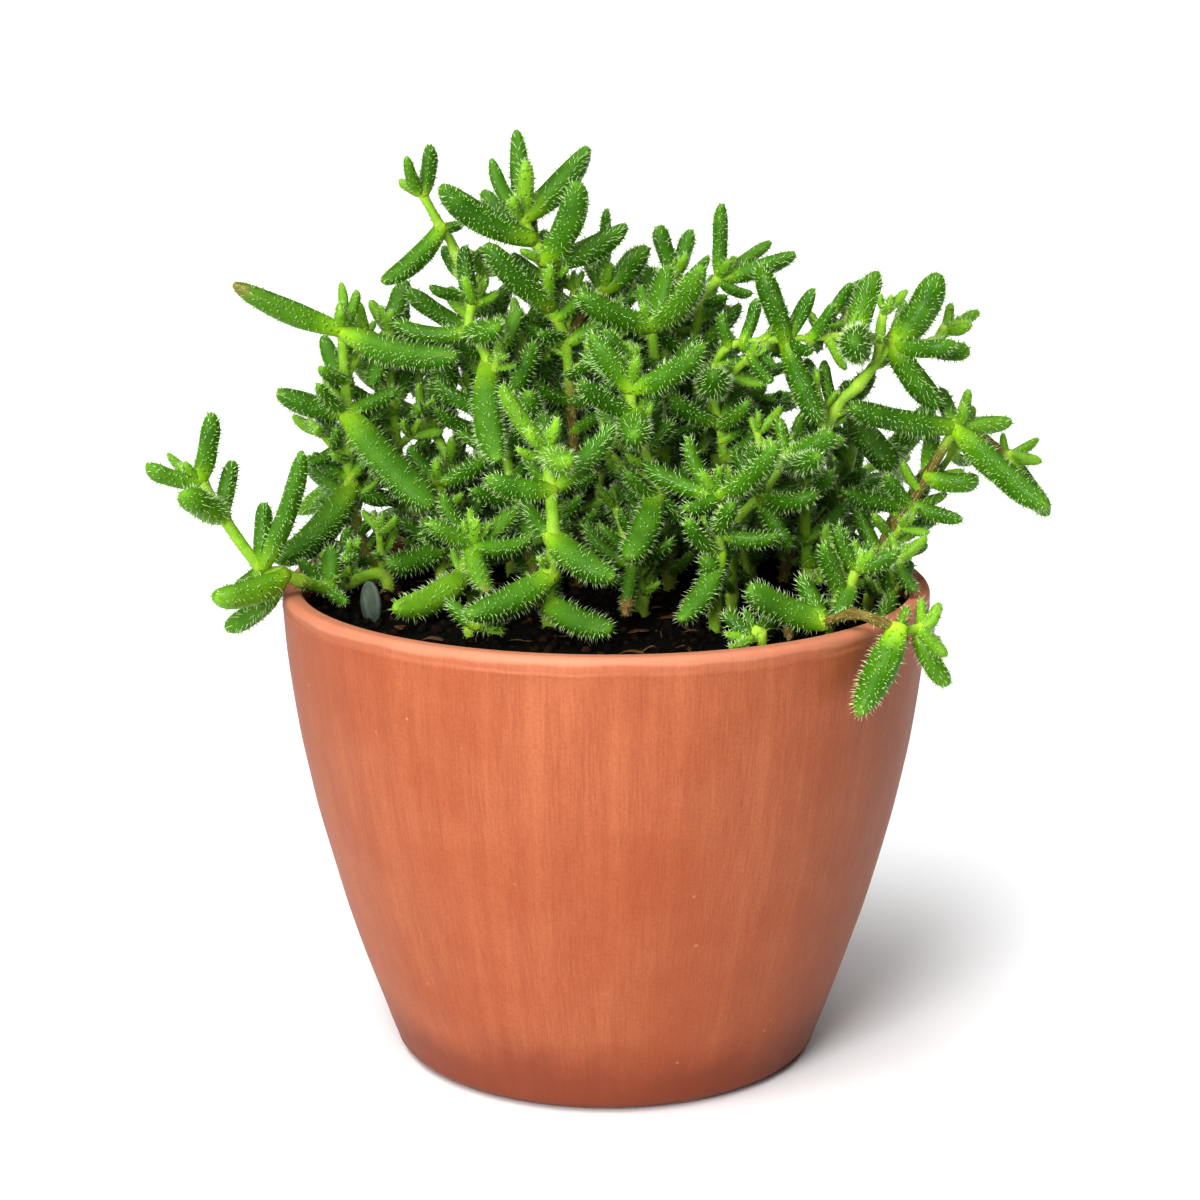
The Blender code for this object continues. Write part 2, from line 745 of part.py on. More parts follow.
def core_leaves(route, chance):
    """Pairs of leaves for the stretches and nodes of a stem that lie in the middle of the plant."""
    wanted = []
    for k in range(2, len(route)):
        ahead = unit(route[k] - route[k - 1])
        spots = [route[k]]
        if np.linalg.norm(route[k] - route[k - 1]) > CORE_STRETCH:
            spots.append((route[k] + route[k - 1]) / 2)
        for spot in spots:
            if np.linalg.norm((spot - CORE_MIDDLE) / CORE_SIZE) < 1.0:
                wanted += leaf_pair(spot, ahead, chance.uniform(0, 180), CORE_LEAF_LENGTH, chance)
    return wanted


def tuft(route, chance):
    """The pair of small young leaves wanted at a stem's top."""
    top, ahead = route[-1], unit(route[-1] - route[-2])
    length, width, angle = TUFT
    side = turned(unit(np.cross(ahead, ODD_WAY)), ahead, chance.uniform(0, 180))
    lean = math.radians(angle)
    offsets = [math.cos(lean) * ahead + half * math.sin(lean) * side for half in (1, -1)]
    return [(top, top + length * offset, width, ahead) for offset in offsets]


def grow_plant():
    """All stems with their leaves, each kept clear of the pot, the soil and the stems grown before it."""
    balls = Balls()
    balls.add(np.array(PEBBLE_AT) + np.array(PEBBLE_BALLS), np.full(len(PEBBLE_BALLS), PEBBLE_BALL), NO_OWNER)
    plants = []

    def add_leaves(plant, wanted, needed=True):
        for node, tip, width, ahead in wanted:
            leaf = grow_leaf(balls, node, tip, width, ROOT_SINK * plant["radius"], plant["owner"])
            if leaf:
                leaf["across"] = ahead
                plant["leaves"].append(leaf)
            elif needed:
                print("no room for a leaf of", plant["name"], "at", np.round(tip), "width", round(width, 1))

    for name, plan in STEMS.items():
        routes, wanted = front_routes(plan, balls, len(plants))
        plants.append(
            dict(name=name, owner=len(plants), radius=plan["radius"], routes=routes, leaves=[], wanted=wanted)
        )
    for plant in plants:
        add_leaves(plant, plant["wanted"])

    chance = random.Random(BACK_SEED)
    for k, (root, points) in enumerate(back_plans()):
        routes = [grow_route(balls, root_points(*root), points, BACK_STEM_RADIUS, len(plants))]
        name = f"stem_back_{k + 1:02d}"
        plant = dict(name=name, owner=len(plants), radius=BACK_STEM_RADIUS, routes=routes, leaves=[])
        plants.append(plant)
        add_leaves(plant, crosswise_leaves(routes[0], chance), needed=False)
    for plant in plants:
        for route in plant["routes"]:
            add_leaves(plant, tuft(route, chance))
            add_leaves(plant, core_leaves(route, chance), needed=False)
    return plants, balls


# Making the pieces


def pot_profile():
    """The pot's outline as (radius, z), from the middle of the foot, up the outside and down to the floor."""
    slope = math.atan(FOOT_TAPER * WALL_CURVE / POT_HEIGHT)
    corner_top = FOOT_CORNER * (1 - math.sin(slope))
    corner_middle = wall_radius(corner_top) - FOOT_CORNER * math.cos(slope)
    profile = [(0.0, 0.0)]
    for k in range(FOOT_BENDS + 1):
        angle = -math.pi / 2 + (math.pi / 2 - slope) * k / FOOT_BENDS
        profile.append((corner_middle + FOOT_CORNER * math.cos(angle), FOOT_CORNER * (1 + math.sin(angle))))
    profile += [(wall_radius(height), height) for height in OUTER_HEIGHTS]
    lip_bottom = POT_HEIGHT - LIP_HEIGHT
    profile.append((wall_radius(lip_bottom) - LIP_STEP, lip_bottom))
    profile.append((RIM_RADIUS, lip_bottom + 2 * LIP_STEP))
    profile.append((RIM_RADIUS, POT_HEIGHT - LIP_ROUND))
    profile.append((RIM_RADIUS - LIP_ROUND, POT_HEIGHT))
    profile.append((RIM_RADIUS - WALL + LIP_ROUND, POT_HEIGHT))
    profile.append((RIM_RADIUS - WALL, POT_HEIGHT - LIP_ROUND))
    for height in reversed(SIDE_HEIGHTS):
        profile.append((wall_radius(height) - WALL, height))
    profile.append((wall_radius(FLOOR) - WALL - FLOOR_CORNER, FLOOR))
    profile.append((0.0, FLOOR))
    return profile


def make_pot(material):
    bm = bmesh.new()
    add_lathe(bm, pot_profile(), POT_SIDES)
    new_object("pot", bm, material)


def soil_relief(x, y):
    return SOIL_RELIEF * math.sin(x / SOIL_WAVES[0] + 1.0) * math.cos(y / SOIL_WAVES[1] - 0.5)


def make_soil(plants, material):
    """The soil, with a plain hole for each stem's foot and a hollow for the pebble."""
    bm = bmesh.new()
    bottom = FLOOR + GAP
    low = [(0.0, bottom), (wall_radius(FLOOR) - WALL - FLOOR_CORNER - GAP, bottom)]
    side = [(wall_radius(height) - WALL - GAP, height) for height in SIDE_HEIGHTS]
    top = [(radius, SOIL_TOP) for radius in SOIL_RINGS]
    add_lathe(bm, low + side + top, SOIL_SIDES)
    for vertex in bm.verts:
        if vertex.co.z == SOIL_TOP and math.hypot(vertex.co.x, vertex.co.y) < SOIL_RINGS[0] + 1:
            vertex.co.z += soil_relief(vertex.co.x, vertex.co.y)
    soil = new_object("soil", bm, material)
    cutters = [hole_cutter(plant) for plant in plants] + [pebble_shape("pebble_hollow", GAP, material)]
    combine(soil, cutters, "DIFFERENCE")


def hole_cutter(plant):
    foot = plant["routes"][0][0]
    radius = (plant["radius"] * corner_factor(STEM_SIDES) + GAP) / math.cos(math.pi / HOLE_SIDES)
    bottom = foot - np.array([0.0, 0.0, GAP])
    top = foot + np.array([0.0, 0.0, 2 * HOLE_DEPTH])
    bm = bmesh.new()
    add_tube(bm, [bottom, top], [radius, radius], HOLE_SIDES, np.array([1.0, 0.0, 0.0]))
    return new_object("hole", bm, None)


def pebble_shape(name, grow, material):
    """The pebble, a flat oval stone on edge, or the hollow that holds it, which is larger by grow."""
    bm = bmesh.new()
    bmesh.ops.create_icosphere(bm, subdivisions=2, radius=0.5)
    bmesh.ops.scale(bm, vec=[size + 2 * grow for size in PEBBLE_SIZE], verts=bm.verts)
    bmesh.ops.rotate(bm, matrix=Matrix.Rotation(PEBBLE_TURN, 3, "Z"), verts=bm.verts)
    bmesh.ops.translate(bm, vec=PEBBLE_AT, verts=bm.verts)
    return new_object(name, bm, material)


def leaf_mesh(leaf, balls, owner, chance):
    """A leaf of few faces, with a bristle or two that reach clear of the other stems."""
    sides, shares, bristles = next(faces[1:] for faces in LEAF_FACES if leaf["width"] >= faces[0])
    points = [leaf["base"]] + [leaf_line(leaf, share) for share in shares] + [leaf["tip"]]
    radii = [leaf_radius(share) * leaf["width"] / 2 * corner_factor(sides) for share in shares]
    bm = bmesh.new()
    add_tube(bm, points, [0.0] + radii + [0.0], sides, leaf["across"])
    add_bristles(bm, leaf, bristles, balls, owner, chance)
    return bm


def add_bristles(bm, leaf, wanted, balls, owner, chance):
    """Raise bristles on some of the outer half's faces, where they reach clear of the other stems."""
    bmesh.ops.recalc_face_normals(bm, faces=bm.faces)
    bmesh.ops.triangulate(bm, faces=bm.faces)
    base = Vector(leaf["base"])
    away = (Vector(leaf["tip"]) - base).length * 0.5
    faces = [face for face in bm.faces if (face.calc_center_median() - base).length > away]
    chance.shuffle(faces)
    for face in faces:
        if wanted == 0:
            return
        centre, normal = np.array(face.calc_center_median()), np.array(face.normal)
        spots = np.array([centre + normal * BRISTLE_LENGTH * share for share in (0.6, 1.0)])
        if not balls.clear(spots, np.full(2, BRISTLE_BALL), owner):
            continue
        perimeter = sum(edge.calc_length() for edge in face.edges)
        inner_radius = 2 * face.calc_area() / perimeter
        bmesh.ops.inset_individual(bm, faces=[face], thickness=inner_radius * (1 - BRISTLE_BASE))
        bmesh.ops.poke(bm, faces=[face], offset=BRISTLE_LENGTH)
        wanted -= 1


def make_stem(plant, balls, chance, material):
    """One leafy stem as a single solid: the stem, its branches and its leaves, fused."""
    shapes = []
    for route in plant["routes"]:
        bm = bmesh.new()
        points = smooth_route(route, stem_steps(route))
        radii = [plant["radius"] * corner_factor(STEM_SIDES)] * len(points)
        add_tube(bm, points, radii, STEM_SIDES, np.array(STEM_ACROSS))
        shapes.append(new_object(plant["name"], bm, material))
    for leaf in plant["leaves"]:
        shapes.append(new_object("leaf", leaf_mesh(leaf, balls, plant["owner"], chance), material))
    combine(shapes[0], shapes[1:], "UNION")


def combine(body, others, operation):
    """Fuse the others to the body, or cut them from it, in one Boolean, then remove them."""
    group = bpy.data.collections.new("operands")
    for other in others:
        bpy.context.scene.collection.objects.unlink(other)
        group.objects.link(other)
    modifier = body.modifiers.new("combine", "BOOLEAN")
    modifier.operation = operation
    modifier.operand_type = "COLLECTION"
    modifier.collection = group
    plain = body.data
    for solver in ("EXACT", "MANIFOLD"):
        modifier.solver = solver
        bpy.context.view_layer.update()
        evaluated = body.evaluated_get(bpy.context.evaluated_depsgraph_get())
        mesh = bpy.data.meshes.new_from_object(evaluated)
        if is_one_closed_body(mesh):
            break
        print(solver, "left", body.name, "open or in pieces")
    body.modifiers.clear()
    body.data = mesh
    bpy.data.meshes.remove(plain)
    for other in others:
        bpy.data.objects.remove(other)
    bpy.data.collections.remove(group)


def is_one_closed_body(mesh):
    bm = bmesh.new()
    bm.from_mesh(mesh)
    closed = all(len(edge.link_faces) == 2 for edge in bm.edges)
    seen, front = set(), [bm.verts[:][0]]
    while front:
        vertex = front.pop()
        if vertex in seen:
            continue
        seen.add(vertex)
        front.extend(edge.other_vert(vertex) for edge in vertex.link_edges)
    whole = len(seen) == len(bm.verts)
    bm.free()
    return closed and whole


def main():
    for thing in list(bpy.data.objects):
        bpy.data.objects.remove(thing)
    clay = new_material("clay", COPPER, 0.55)
    earth = new_material("earth", BLACK_EARTH, 1.0)
    slate = new_material("slate", SLATE, 0.8)
    leaf_green = new_material("leaf_green", GREEN, 0.5)
    plants, balls = grow_plant()
    make_pot(clay)
    pebble_shape("pebble", 0.0, slate)
    make_soil(plants, earth)
    chance = random.Random(BACK_SEED)
    for plant in plants:
        make_stem(plant, balls, chance, leaf_green)
    print(len(plants), "stems,", sum(len(plant["leaves"]) for plant in plants), "leaves")
    triangles = 0
    for thing in bpy.data.objects:
        thing.data.calc_loop_triangles()
        triangles += len(thing.data.loop_triangles)
    print(triangles, "triangles")


main()
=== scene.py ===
# %% [markdown]
# # A potted pickle plant
#
# This lesson dresses a plain model of a pickle plant, a small succulent with fat bristly leaves, in its
# round clay pot. The plain model has the right sizes and places, but its leaves are few-sided and nearly
# bare. Here each leafy stem is made again with rounded leaves and all of its bristles, the soil gets its
# crumbs, and the pot its brushed clay. Every length below is in millimetres until a mesh is made.

# %% Load the plain model
import itertools
import math
import random

import bpy
import numpy as np
from mathutils import Matrix, Vector


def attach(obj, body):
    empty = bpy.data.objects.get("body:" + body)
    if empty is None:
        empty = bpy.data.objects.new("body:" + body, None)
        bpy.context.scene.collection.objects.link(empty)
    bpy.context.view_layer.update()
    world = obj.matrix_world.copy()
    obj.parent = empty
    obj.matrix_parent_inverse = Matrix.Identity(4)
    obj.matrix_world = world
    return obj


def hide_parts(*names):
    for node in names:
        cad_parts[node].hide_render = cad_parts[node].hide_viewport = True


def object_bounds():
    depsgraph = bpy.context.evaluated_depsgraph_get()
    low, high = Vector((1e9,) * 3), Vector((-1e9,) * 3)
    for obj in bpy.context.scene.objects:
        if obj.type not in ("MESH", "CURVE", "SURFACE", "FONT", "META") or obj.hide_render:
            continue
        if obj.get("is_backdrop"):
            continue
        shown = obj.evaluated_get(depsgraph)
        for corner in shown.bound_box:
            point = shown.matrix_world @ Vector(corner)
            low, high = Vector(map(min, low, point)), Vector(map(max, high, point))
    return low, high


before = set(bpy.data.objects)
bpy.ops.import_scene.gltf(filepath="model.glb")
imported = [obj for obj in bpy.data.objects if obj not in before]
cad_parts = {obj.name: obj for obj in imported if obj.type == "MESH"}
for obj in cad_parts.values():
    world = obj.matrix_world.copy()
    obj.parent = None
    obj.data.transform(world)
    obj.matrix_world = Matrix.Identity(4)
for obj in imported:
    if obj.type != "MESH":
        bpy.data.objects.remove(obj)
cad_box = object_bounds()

MILLIMETRE = 0.001
SEED = 7
box_low, box_high = (np.array(corner) / MILLIMETRE for corner in cad_box)
plain_size = np.round(box_high - box_low).tolist()
print("The plain model has", len(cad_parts), "nodes and measures", plain_size)

# %% [markdown]
# ## The camera
#
# A camera can be described by what a photographer would note down: the lens, how far it stands from the
# subject, and how steeply it looks down. The same numbers also tell where any point of the plant lies in
# the picture, which the stems below make use of. We write the view as named values first, and then make
# the camera from them, so that the two can't disagree.

# %% Make the camera
FOCAL_PIXELS = 2700.0
PICTURE_MIDDLE = 600.0
POT_AXIS_PIXEL = 606.0
VIEW_DISTANCE = 546.0
VIEW_PITCH = math.radians(13.0)
VIEW_HEIGHT = 92.7  # the height that the picture's middle looks at, on the pot's axis
SENSOR = 36.0

aim_x = (PICTURE_MIDDLE - POT_AXIS_PIXEL) * VIEW_DISTANCE / FOCAL_PIXELS
eye_out, eye_rise = VIEW_DISTANCE * math.cos(VIEW_PITCH), VIEW_DISTANCE * math.sin(VIEW_PITCH)
eye = np.array([aim_x, -eye_out, VIEW_HEIGHT + eye_rise])
lens = bpy.data.cameras.new("front_view")
lens.sensor_width = SENSOR
lens.lens = SENSOR * FOCAL_PIXELS / (2 * PICTURE_MIDDLE)
camera = bpy.data.objects.new("front_view", lens)
bpy.context.scene.collection.objects.link(camera)
camera.location = eye * MILLIMETRE
camera.rotation_euler = (math.pi / 2 - VIEW_PITCH, 0.0, 0.0)
bpy.context.scene.camera = camera
print("The lens is", round(lens.lens, 1), "mm long and stands", round(VIEW_DISTANCE), "mm away")

# %% [markdown]
# ## Meshes from arrays
#
# The plant has hundreds of leaves with a hundred bristles each. Blender's mesh operators would take
# minutes over them, so we let numpy work out whole groups of points at once. A Piece gathers points and
# triangles shape by shape, with four marks on each point that the materials read later: how far along its
# leaf or stem the point lies, the leaf's own tint, whether it is on the leaf's upper face, and how far it
# has dried. A Piece also keeps its points inside the plain model's box.

# %% Gather shapes into one piece
class Piece:
    """Points, triangles and marks, gathered shape by shape in millimetres and made into one object."""

    def __init__(self):
        self.points, self.faces, self.slots, self.marks = [], [], [], []
        self.count = 0

    def add(self, points, faces, slot=0, along=0.0, tint=0.0, upper=0.0, dry=0.0):
        self.points.append(points)
        self.faces.append(np.asarray(faces) + self.count)
        self.slots.append(np.full(len(faces), slot))
        marks = [np.broadcast_to(values, len(points)) for values in (along, tint, upper, dry)]
        self.marks.append(np.stack(marks, -1))
        self.count += len(points)

    def make(self, name, materials):
        faces = np.concatenate(self.faces).astype(np.int32)
        points = np.clip(np.concatenate(self.points), box_low, box_high)
        points = (points * MILLIMETRE).astype(np.float32)
        marks = np.concatenate(self.marks).astype(np.float32)
        mesh = bpy.data.meshes.new(name)
        mesh.vertices.add(len(points))
        mesh.vertices.foreach_set("co", points.ravel())
        mesh.loops.add(faces.size)
        mesh.loops.foreach_set("vertex_index", faces.ravel())
        mesh.polygons.add(len(faces))
        mesh.polygons.foreach_set("loop_start", np.arange(0, faces.size, 3, dtype=np.int32))
        mesh.polygons.foreach_set("material_index", np.concatenate(self.slots).astype(np.int32))
        mesh.polygons.foreach_set("use_smooth", np.ones(len(faces), bool))
        for column, name_of_mark in enumerate(("along", "tint", "upper", "dry")):
            layer = mesh.attributes.new(name_of_mark, "FLOAT", "POINT")
            layer.data.foreach_set("value", np.ascontiguousarray(marks[:, column]))
        mesh.update(calc_edges=True)
        for material in materials:
            mesh.materials.append(material)
        thing = bpy.data.objects.new(name, mesh)
        bpy.context.scene.collection.objects.link(thing)
        return thing


# %% Number the triangles of a tube
def tube_faces(rings, sides):
    """Triangles of a tube whose points are its rings in turn, then one closing point for each end."""
    k, j = np.meshgrid(np.arange(rings - 1), np.arange(sides), indexing="ij")
    a, b = k * sides + j, k * sides + (j + 1) % sides
    around = np.arange(sides)
    after = (around + 1) % sides
    last, start, end = (rings - 1) * sides, np.full(sides, rings * sides), np.full(sides, rings * sides + 1)
    corners = [(a, b, b + sides), (a, b + sides, a + sides)]
    corners += [(after, around, start), (last + around, last + after, end)]
    return np.concatenate([np.stack(three, -1).reshape(-1, 3) for three in corners])


def rows_unit(rows):
    """Each row of an array of vectors, at a length of 1."""
    return rows / np.maximum(np.linalg.norm(rows, axis=-1, keepdims=True), 1e-9)


def ripples(points, length, seed, count=9):
    """A smooth random value between about -1 and 1 for each point, from sine waves of about one length."""
    chance = np.random.default_rng(seed)
    ways = rows_unit(chance.normal(size=(count, 3)))
    waves = ways * math.tau / (length * chance.uniform(0.7, 1.5, (count, 1)))
    starts = chance.uniform(0, math.tau, count)
    return np.sin(points @ waves.T + starts).sum(axis=1) / math.sqrt(count)


def round_about(side, up, across, lift):
    """For each row of side and up, the offsets that lie across along side and lift along up."""
    return across[None, :, None] * side[:, None] + lift[None, :, None] * up[:, None]


print("A tube of 3 rings of 8 points has", len(tube_faces(3, 8)), "triangles")

# %% [markdown]
# ## Nodes in short calls
#
# A procedural material is a small machine of nodes. Placing each node and wiring each socket by hand
# makes long listings, so one helper adds a node, fills its inputs with numbers or with other nodes'
# outputs, and returns it. Colours are easier to judge as they look on a screen, from 0 to 255, so a
# second helper turns such a colour into the linear values that Blender calculates with.

# %% Helpers for materials
def screen(red, green, blue):
    """The linear colour of a colour as a screen shows it, from 0 to 255."""
    shares = np.array([red, green, blue]) / 255
    linear = np.where(shares <= 0.04045, shares / 12.92, ((shares + 0.055) / 1.055) ** 2.4)
    return (*linear.tolist(), 1.0)


def fill(tree, socket, value):
    """Give a socket its value, or link it to another node's output."""
    if isinstance(value, bpy.types.NodeSocket):
        tree.links.new(value, socket)
    else:
        socket.default_value = value


def add_node(tree, kind, inputs, **settings):
    """Add a node with its settings, and fill its inputs with values or with other nodes' outputs."""
    node = tree.nodes.new("ShaderNode" + kind)
    for name, value in settings.items():
        setattr(node, name, value)
    for name, value in inputs.items():
        fill(tree, node.inputs[name], value)
    return node


def ramp(tree, factor, stops):
    """A colour for each value of factor, from stops of a value and a colour as a screen shows it."""
    node = add_node(tree, "ValToRGB", {"Fac": factor})
    elements = node.color_ramp.elements
    while len(elements) < len(stops):
        elements.new(0.5)
    for element, (position, colour) in zip(elements, stops):
        element.position = position
        element.color = screen(*colour)
    return node.outputs["Color"]


def mix(tree, factor, first, second):
    inputs = {0: factor, 6: first, 7: second}
    return add_node(tree, "Mix", inputs, data_type="RGBA").outputs[2]


def math_node(tree, operation, *values):
    return add_node(tree, "Math", dict(enumerate(values)), operation=operation).outputs[0]


def steps_between(tree, value, low, high, low_out=0.0, high_out=1.0):
    """A value eased from low_out to high_out as it goes from low to high."""
    inputs = {"Value": value, "From Min": low, "From Max": high, "To Min": low_out, "To Max": high_out}
    return add_node(tree, "MapRange", inputs, interpolation_type="SMOOTHSTEP").outputs[0]


def noise(tree, place, scale, detail=3.0, roughness=0.5):
    inputs = {"Vector": place, "Scale": scale, "Detail": detail, "Roughness": roughness}
    return add_node(tree, "TexNoise", inputs).outputs["Fac"]


def cell_distance(tree, place, scale):
    """How far each point lies from the nearest of many scattered ones."""
    return add_node(tree, "TexVoronoi", {"Vector": place, "Scale": scale}).outputs["Distance"]


def point_mark(tree, name):
    return add_node(tree, "Attribute", {}, attribute_name=name).outputs["Fac"]


def new_material(name):
    """A material with a Principled shader: its node tree, the shader, and the place on the object."""
    material = bpy.data.materials.new(name)
    material.use_nodes = True
    tree = material.node_tree
    place = add_node(tree, "TexCoord", {}).outputs["Object"]
    return material, tree, tree.nodes["Principled BSDF"], place


def set_inputs(tree, node, **inputs):
    """Fill a shader's inputs by name, with _ for a space."""
    for name, value in inputs.items():
        fill(tree, node.inputs[name.replace("_", " ")], value)


def bump(tree, height, distance, strength=1.0, under=None):
    inputs = {"Height": height, "Distance": distance, "Strength": strength}
    if under is not None:
        inputs["Normal"] = under
    return add_node(tree, "Bump", inputs).outputs["Normal"]


print("A mid green of 90, 140, 40 is", [round(value, 3) for value in screen(90, 140, 40)[:3]])

# %% [markdown]
# ## The pot
#
# A pot like this one is turned or pressed, so its shape is a profile carried round an axis. Blender's Screw
# modifier or a bmesh spin could do that, and so can a tube of rings whose radii and heights follow the
# profile. We take the tube, because it lets us shake the points a little afterwards: the lip of the real
# pot was smoothed by hand, and its lower edge, with the fine ridge below it, wanders up and down by a
# fraction of a millimetre.

# %% Measure the pot
POT_HEIGHT = 97.0
RIM_RADIUS = 65.0
FOOT_TAPER = 22.65  # how much narrower the wall is at the foot than at the rim
WALL_CURVE = 1.7  # the taper's exponent: above 1 the wall bellies out towards the rim
WALL = 4.0
FLOOR = 6.0
FOOT_CORNER = 5.0
SOIL_TOP = 92.0
POT_ROUND = 160  # points in a full turn
LIP_TOP_ROUND = 1.2
LIP_HEIGHT = 2.8
GROOVE_STEPS = ((-0.02, -0.8), (0.10, -0.45), (-0.14, -0.1))  # a fine ridge and groove under the lip,
LIP_STEPS = ((-0.12, 0.25), (0.0, 0.7))  # and the lip's lower edge: steps out and up from there
FOOT_RINGS = (12.0, 24.0, 33.0)
SEAM_HEIGHT = 2.4  # the low ridge that the mould left above the foot's edge
SEAM_STAND = 0.16
LIP_WANDER = 0.28
GROOVE_WEAR = 0.05
DENT_DEPTH = 0.10


def wall_radius(z):
    """The outer radius of the pot's wall at a height."""
    return RIM_RADIUS - FOOT_TAPER * (1.0 - min(1.0, max(0.0, z / POT_HEIGHT))) ** WALL_CURVE


print("The wall's radius at the middle of its height is", round(wall_radius(POT_HEIGHT / 2), 1))


# %% Draw the pot's profile
def arc(middle_radius, middle_z, radius, first, last, steps):
    """Points of (radius, z) on an arc, its angles in degrees from outwards through up."""
    angles = np.radians(np.linspace(first, last, steps))
    return [(middle_radius + radius * math.cos(a), middle_z + radius * math.sin(a)) for a in angles]


def pot_profile():
    """The profile from the foot, up the outside, over the lip and down the inside to the floor."""
    slope = math.degrees(math.atan(FOOT_TAPER * WALL_CURVE / POT_HEIGHT))
    corner_top = FOOT_CORNER * (1 - math.sin(math.radians(slope)))
    corner_middle = wall_radius(corner_top) - FOOT_CORNER * math.cos(math.radians(slope))
    foot = [(radius, 0.0) for radius in FOOT_RINGS]
    foot += arc(corner_middle, FOOT_CORNER, FOOT_CORNER, -90, -slope, 9)
    under_lip = POT_HEIGHT - LIP_HEIGHT
    wall = [(wall_radius(z), z) for z in np.linspace(corner_top + 1.5, under_lip - 1.2, 34)]
    groove = [(wall_radius(under_lip) + out, under_lip + up) for out, up in GROOVE_STEPS]
    lip = [(RIM_RADIUS + out, under_lip + up) for out, up in LIP_STEPS]
    lip += arc(RIM_RADIUS - LIP_TOP_ROUND, POT_HEIGHT - LIP_TOP_ROUND, LIP_TOP_ROUND, 0, 90, 6)
    inner_middle = RIM_RADIUS - WALL + LIP_TOP_ROUND
    inside = arc(inner_middle, POT_HEIGHT - LIP_TOP_ROUND, LIP_TOP_ROUND, 90, 180, 5)
    inside += [(wall_radius(z) - WALL, z) for z in np.linspace(SOIL_TOP, FLOOR + 4, 8)]
    return foot + wall + groove + lip + inside + [(wall_radius(FLOOR) - WALL - 4, FLOOR)]


profile = np.array(pot_profile())
print("The profile has", len(profile), "points, the widest at radius", profile[:, 0].max())


# %% Turn the profile and shake the lip by hand
def turned_rings(profile, count):
    """The points of a profile carried round the axis, ring by ring."""
    angles = np.linspace(0, math.tau, count, endpoint=False)
    round_about = np.stack([np.cos(angles), np.sin(angles)], -1)
    flat = profile[:, None, :1] * round_about[None]
    heights = np.repeat(profile[:, 1][:, None, None], count, axis=1)
    return np.concatenate([flat, heights], axis=2)


def lathe(profile, count):
    rings = turned_rings(profile, count)
    ends = np.array([[0.0, 0.0, profile[0, 1]], [0.0, 0.0, profile[-1, 1]]])
    return np.concatenate([rings.reshape(-1, 3), ends]), tube_faces(len(profile), count)


pot_points, pot_faces = lathe(profile, POT_ROUND)
height = pot_points[:, 2]
out = np.maximum(np.hypot(pot_points[:, 0], pot_points[:, 1]), 1.0)
outside = out > RIM_RADIUS - WALL / 2
near_groove = np.exp(-(((height - POT_HEIGHT + LIP_HEIGHT) / 0.8) ** 2)) * outside
wander = ripples(pot_points * (1, 1, 0), 22.0, 3) + 0.6 * ripples(pot_points * (1, 1, 0), 6.0, 4)
pot_points[:, 2] += LIP_WANDER * near_groove * wander
seam = SEAM_STAND * np.exp(-(((height - SEAM_HEIGHT) / 0.5) ** 2)) * (out > 20) * (height < 8)
dents = DENT_DEPTH * ripples(pot_points, 30.0, 5) * (height > 8) * (height < POT_HEIGHT - 4)
shift = seam - GROOVE_WEAR * near_groove * np.abs(wander) - np.abs(dents)
pot_points[:, :2] *= (1 + shift / out)[:, None]
print("The pot has", len(pot_faces), "triangles")

# %% [markdown]
# ## The clay's finish
#
# The clay has a thin copper-brown wash that was brushed on upright, so its colour runs in fine vertical
# streaks, with broad pale strokes and soft darker blotches. Near the foot the wash ends in a darker band
# with a cloudy edge. The lip is painted paler, most of all along its crest, as a painted highlight where
# it catches the light. A noise texture gives streaks when one axis is squeezed: we look it up round the pot
# at full scale and along its height at a small one. The streaks also drive the roughness and a faint bump,
# as brush marks do.

# %% Brush the clay
BAND_TOP = 15.5
BAND_FADE = 13.0
BAND_CLOUD = 20.0  # how far the band's edge billows
STREAK_SQUEEZE = 0.9  # of the height, in metres, against a circle of radius 1
SPECKS = 200.0  # cells to a metre, some of which hold a pale speck
EDGE_WANDER = 1.6
# Painted highlight: the lip and its crest are painted paler where they catch the light.
PALE_EDGES = (  # the lip and its crest: how far below the top each starts, its fade, strength and colour
    (LIP_HEIGHT + 0.2, 0.9, 0.2, (196, 132, 104)),
    (1.1, 0.7, 0.25, (218, 160, 134)),
)


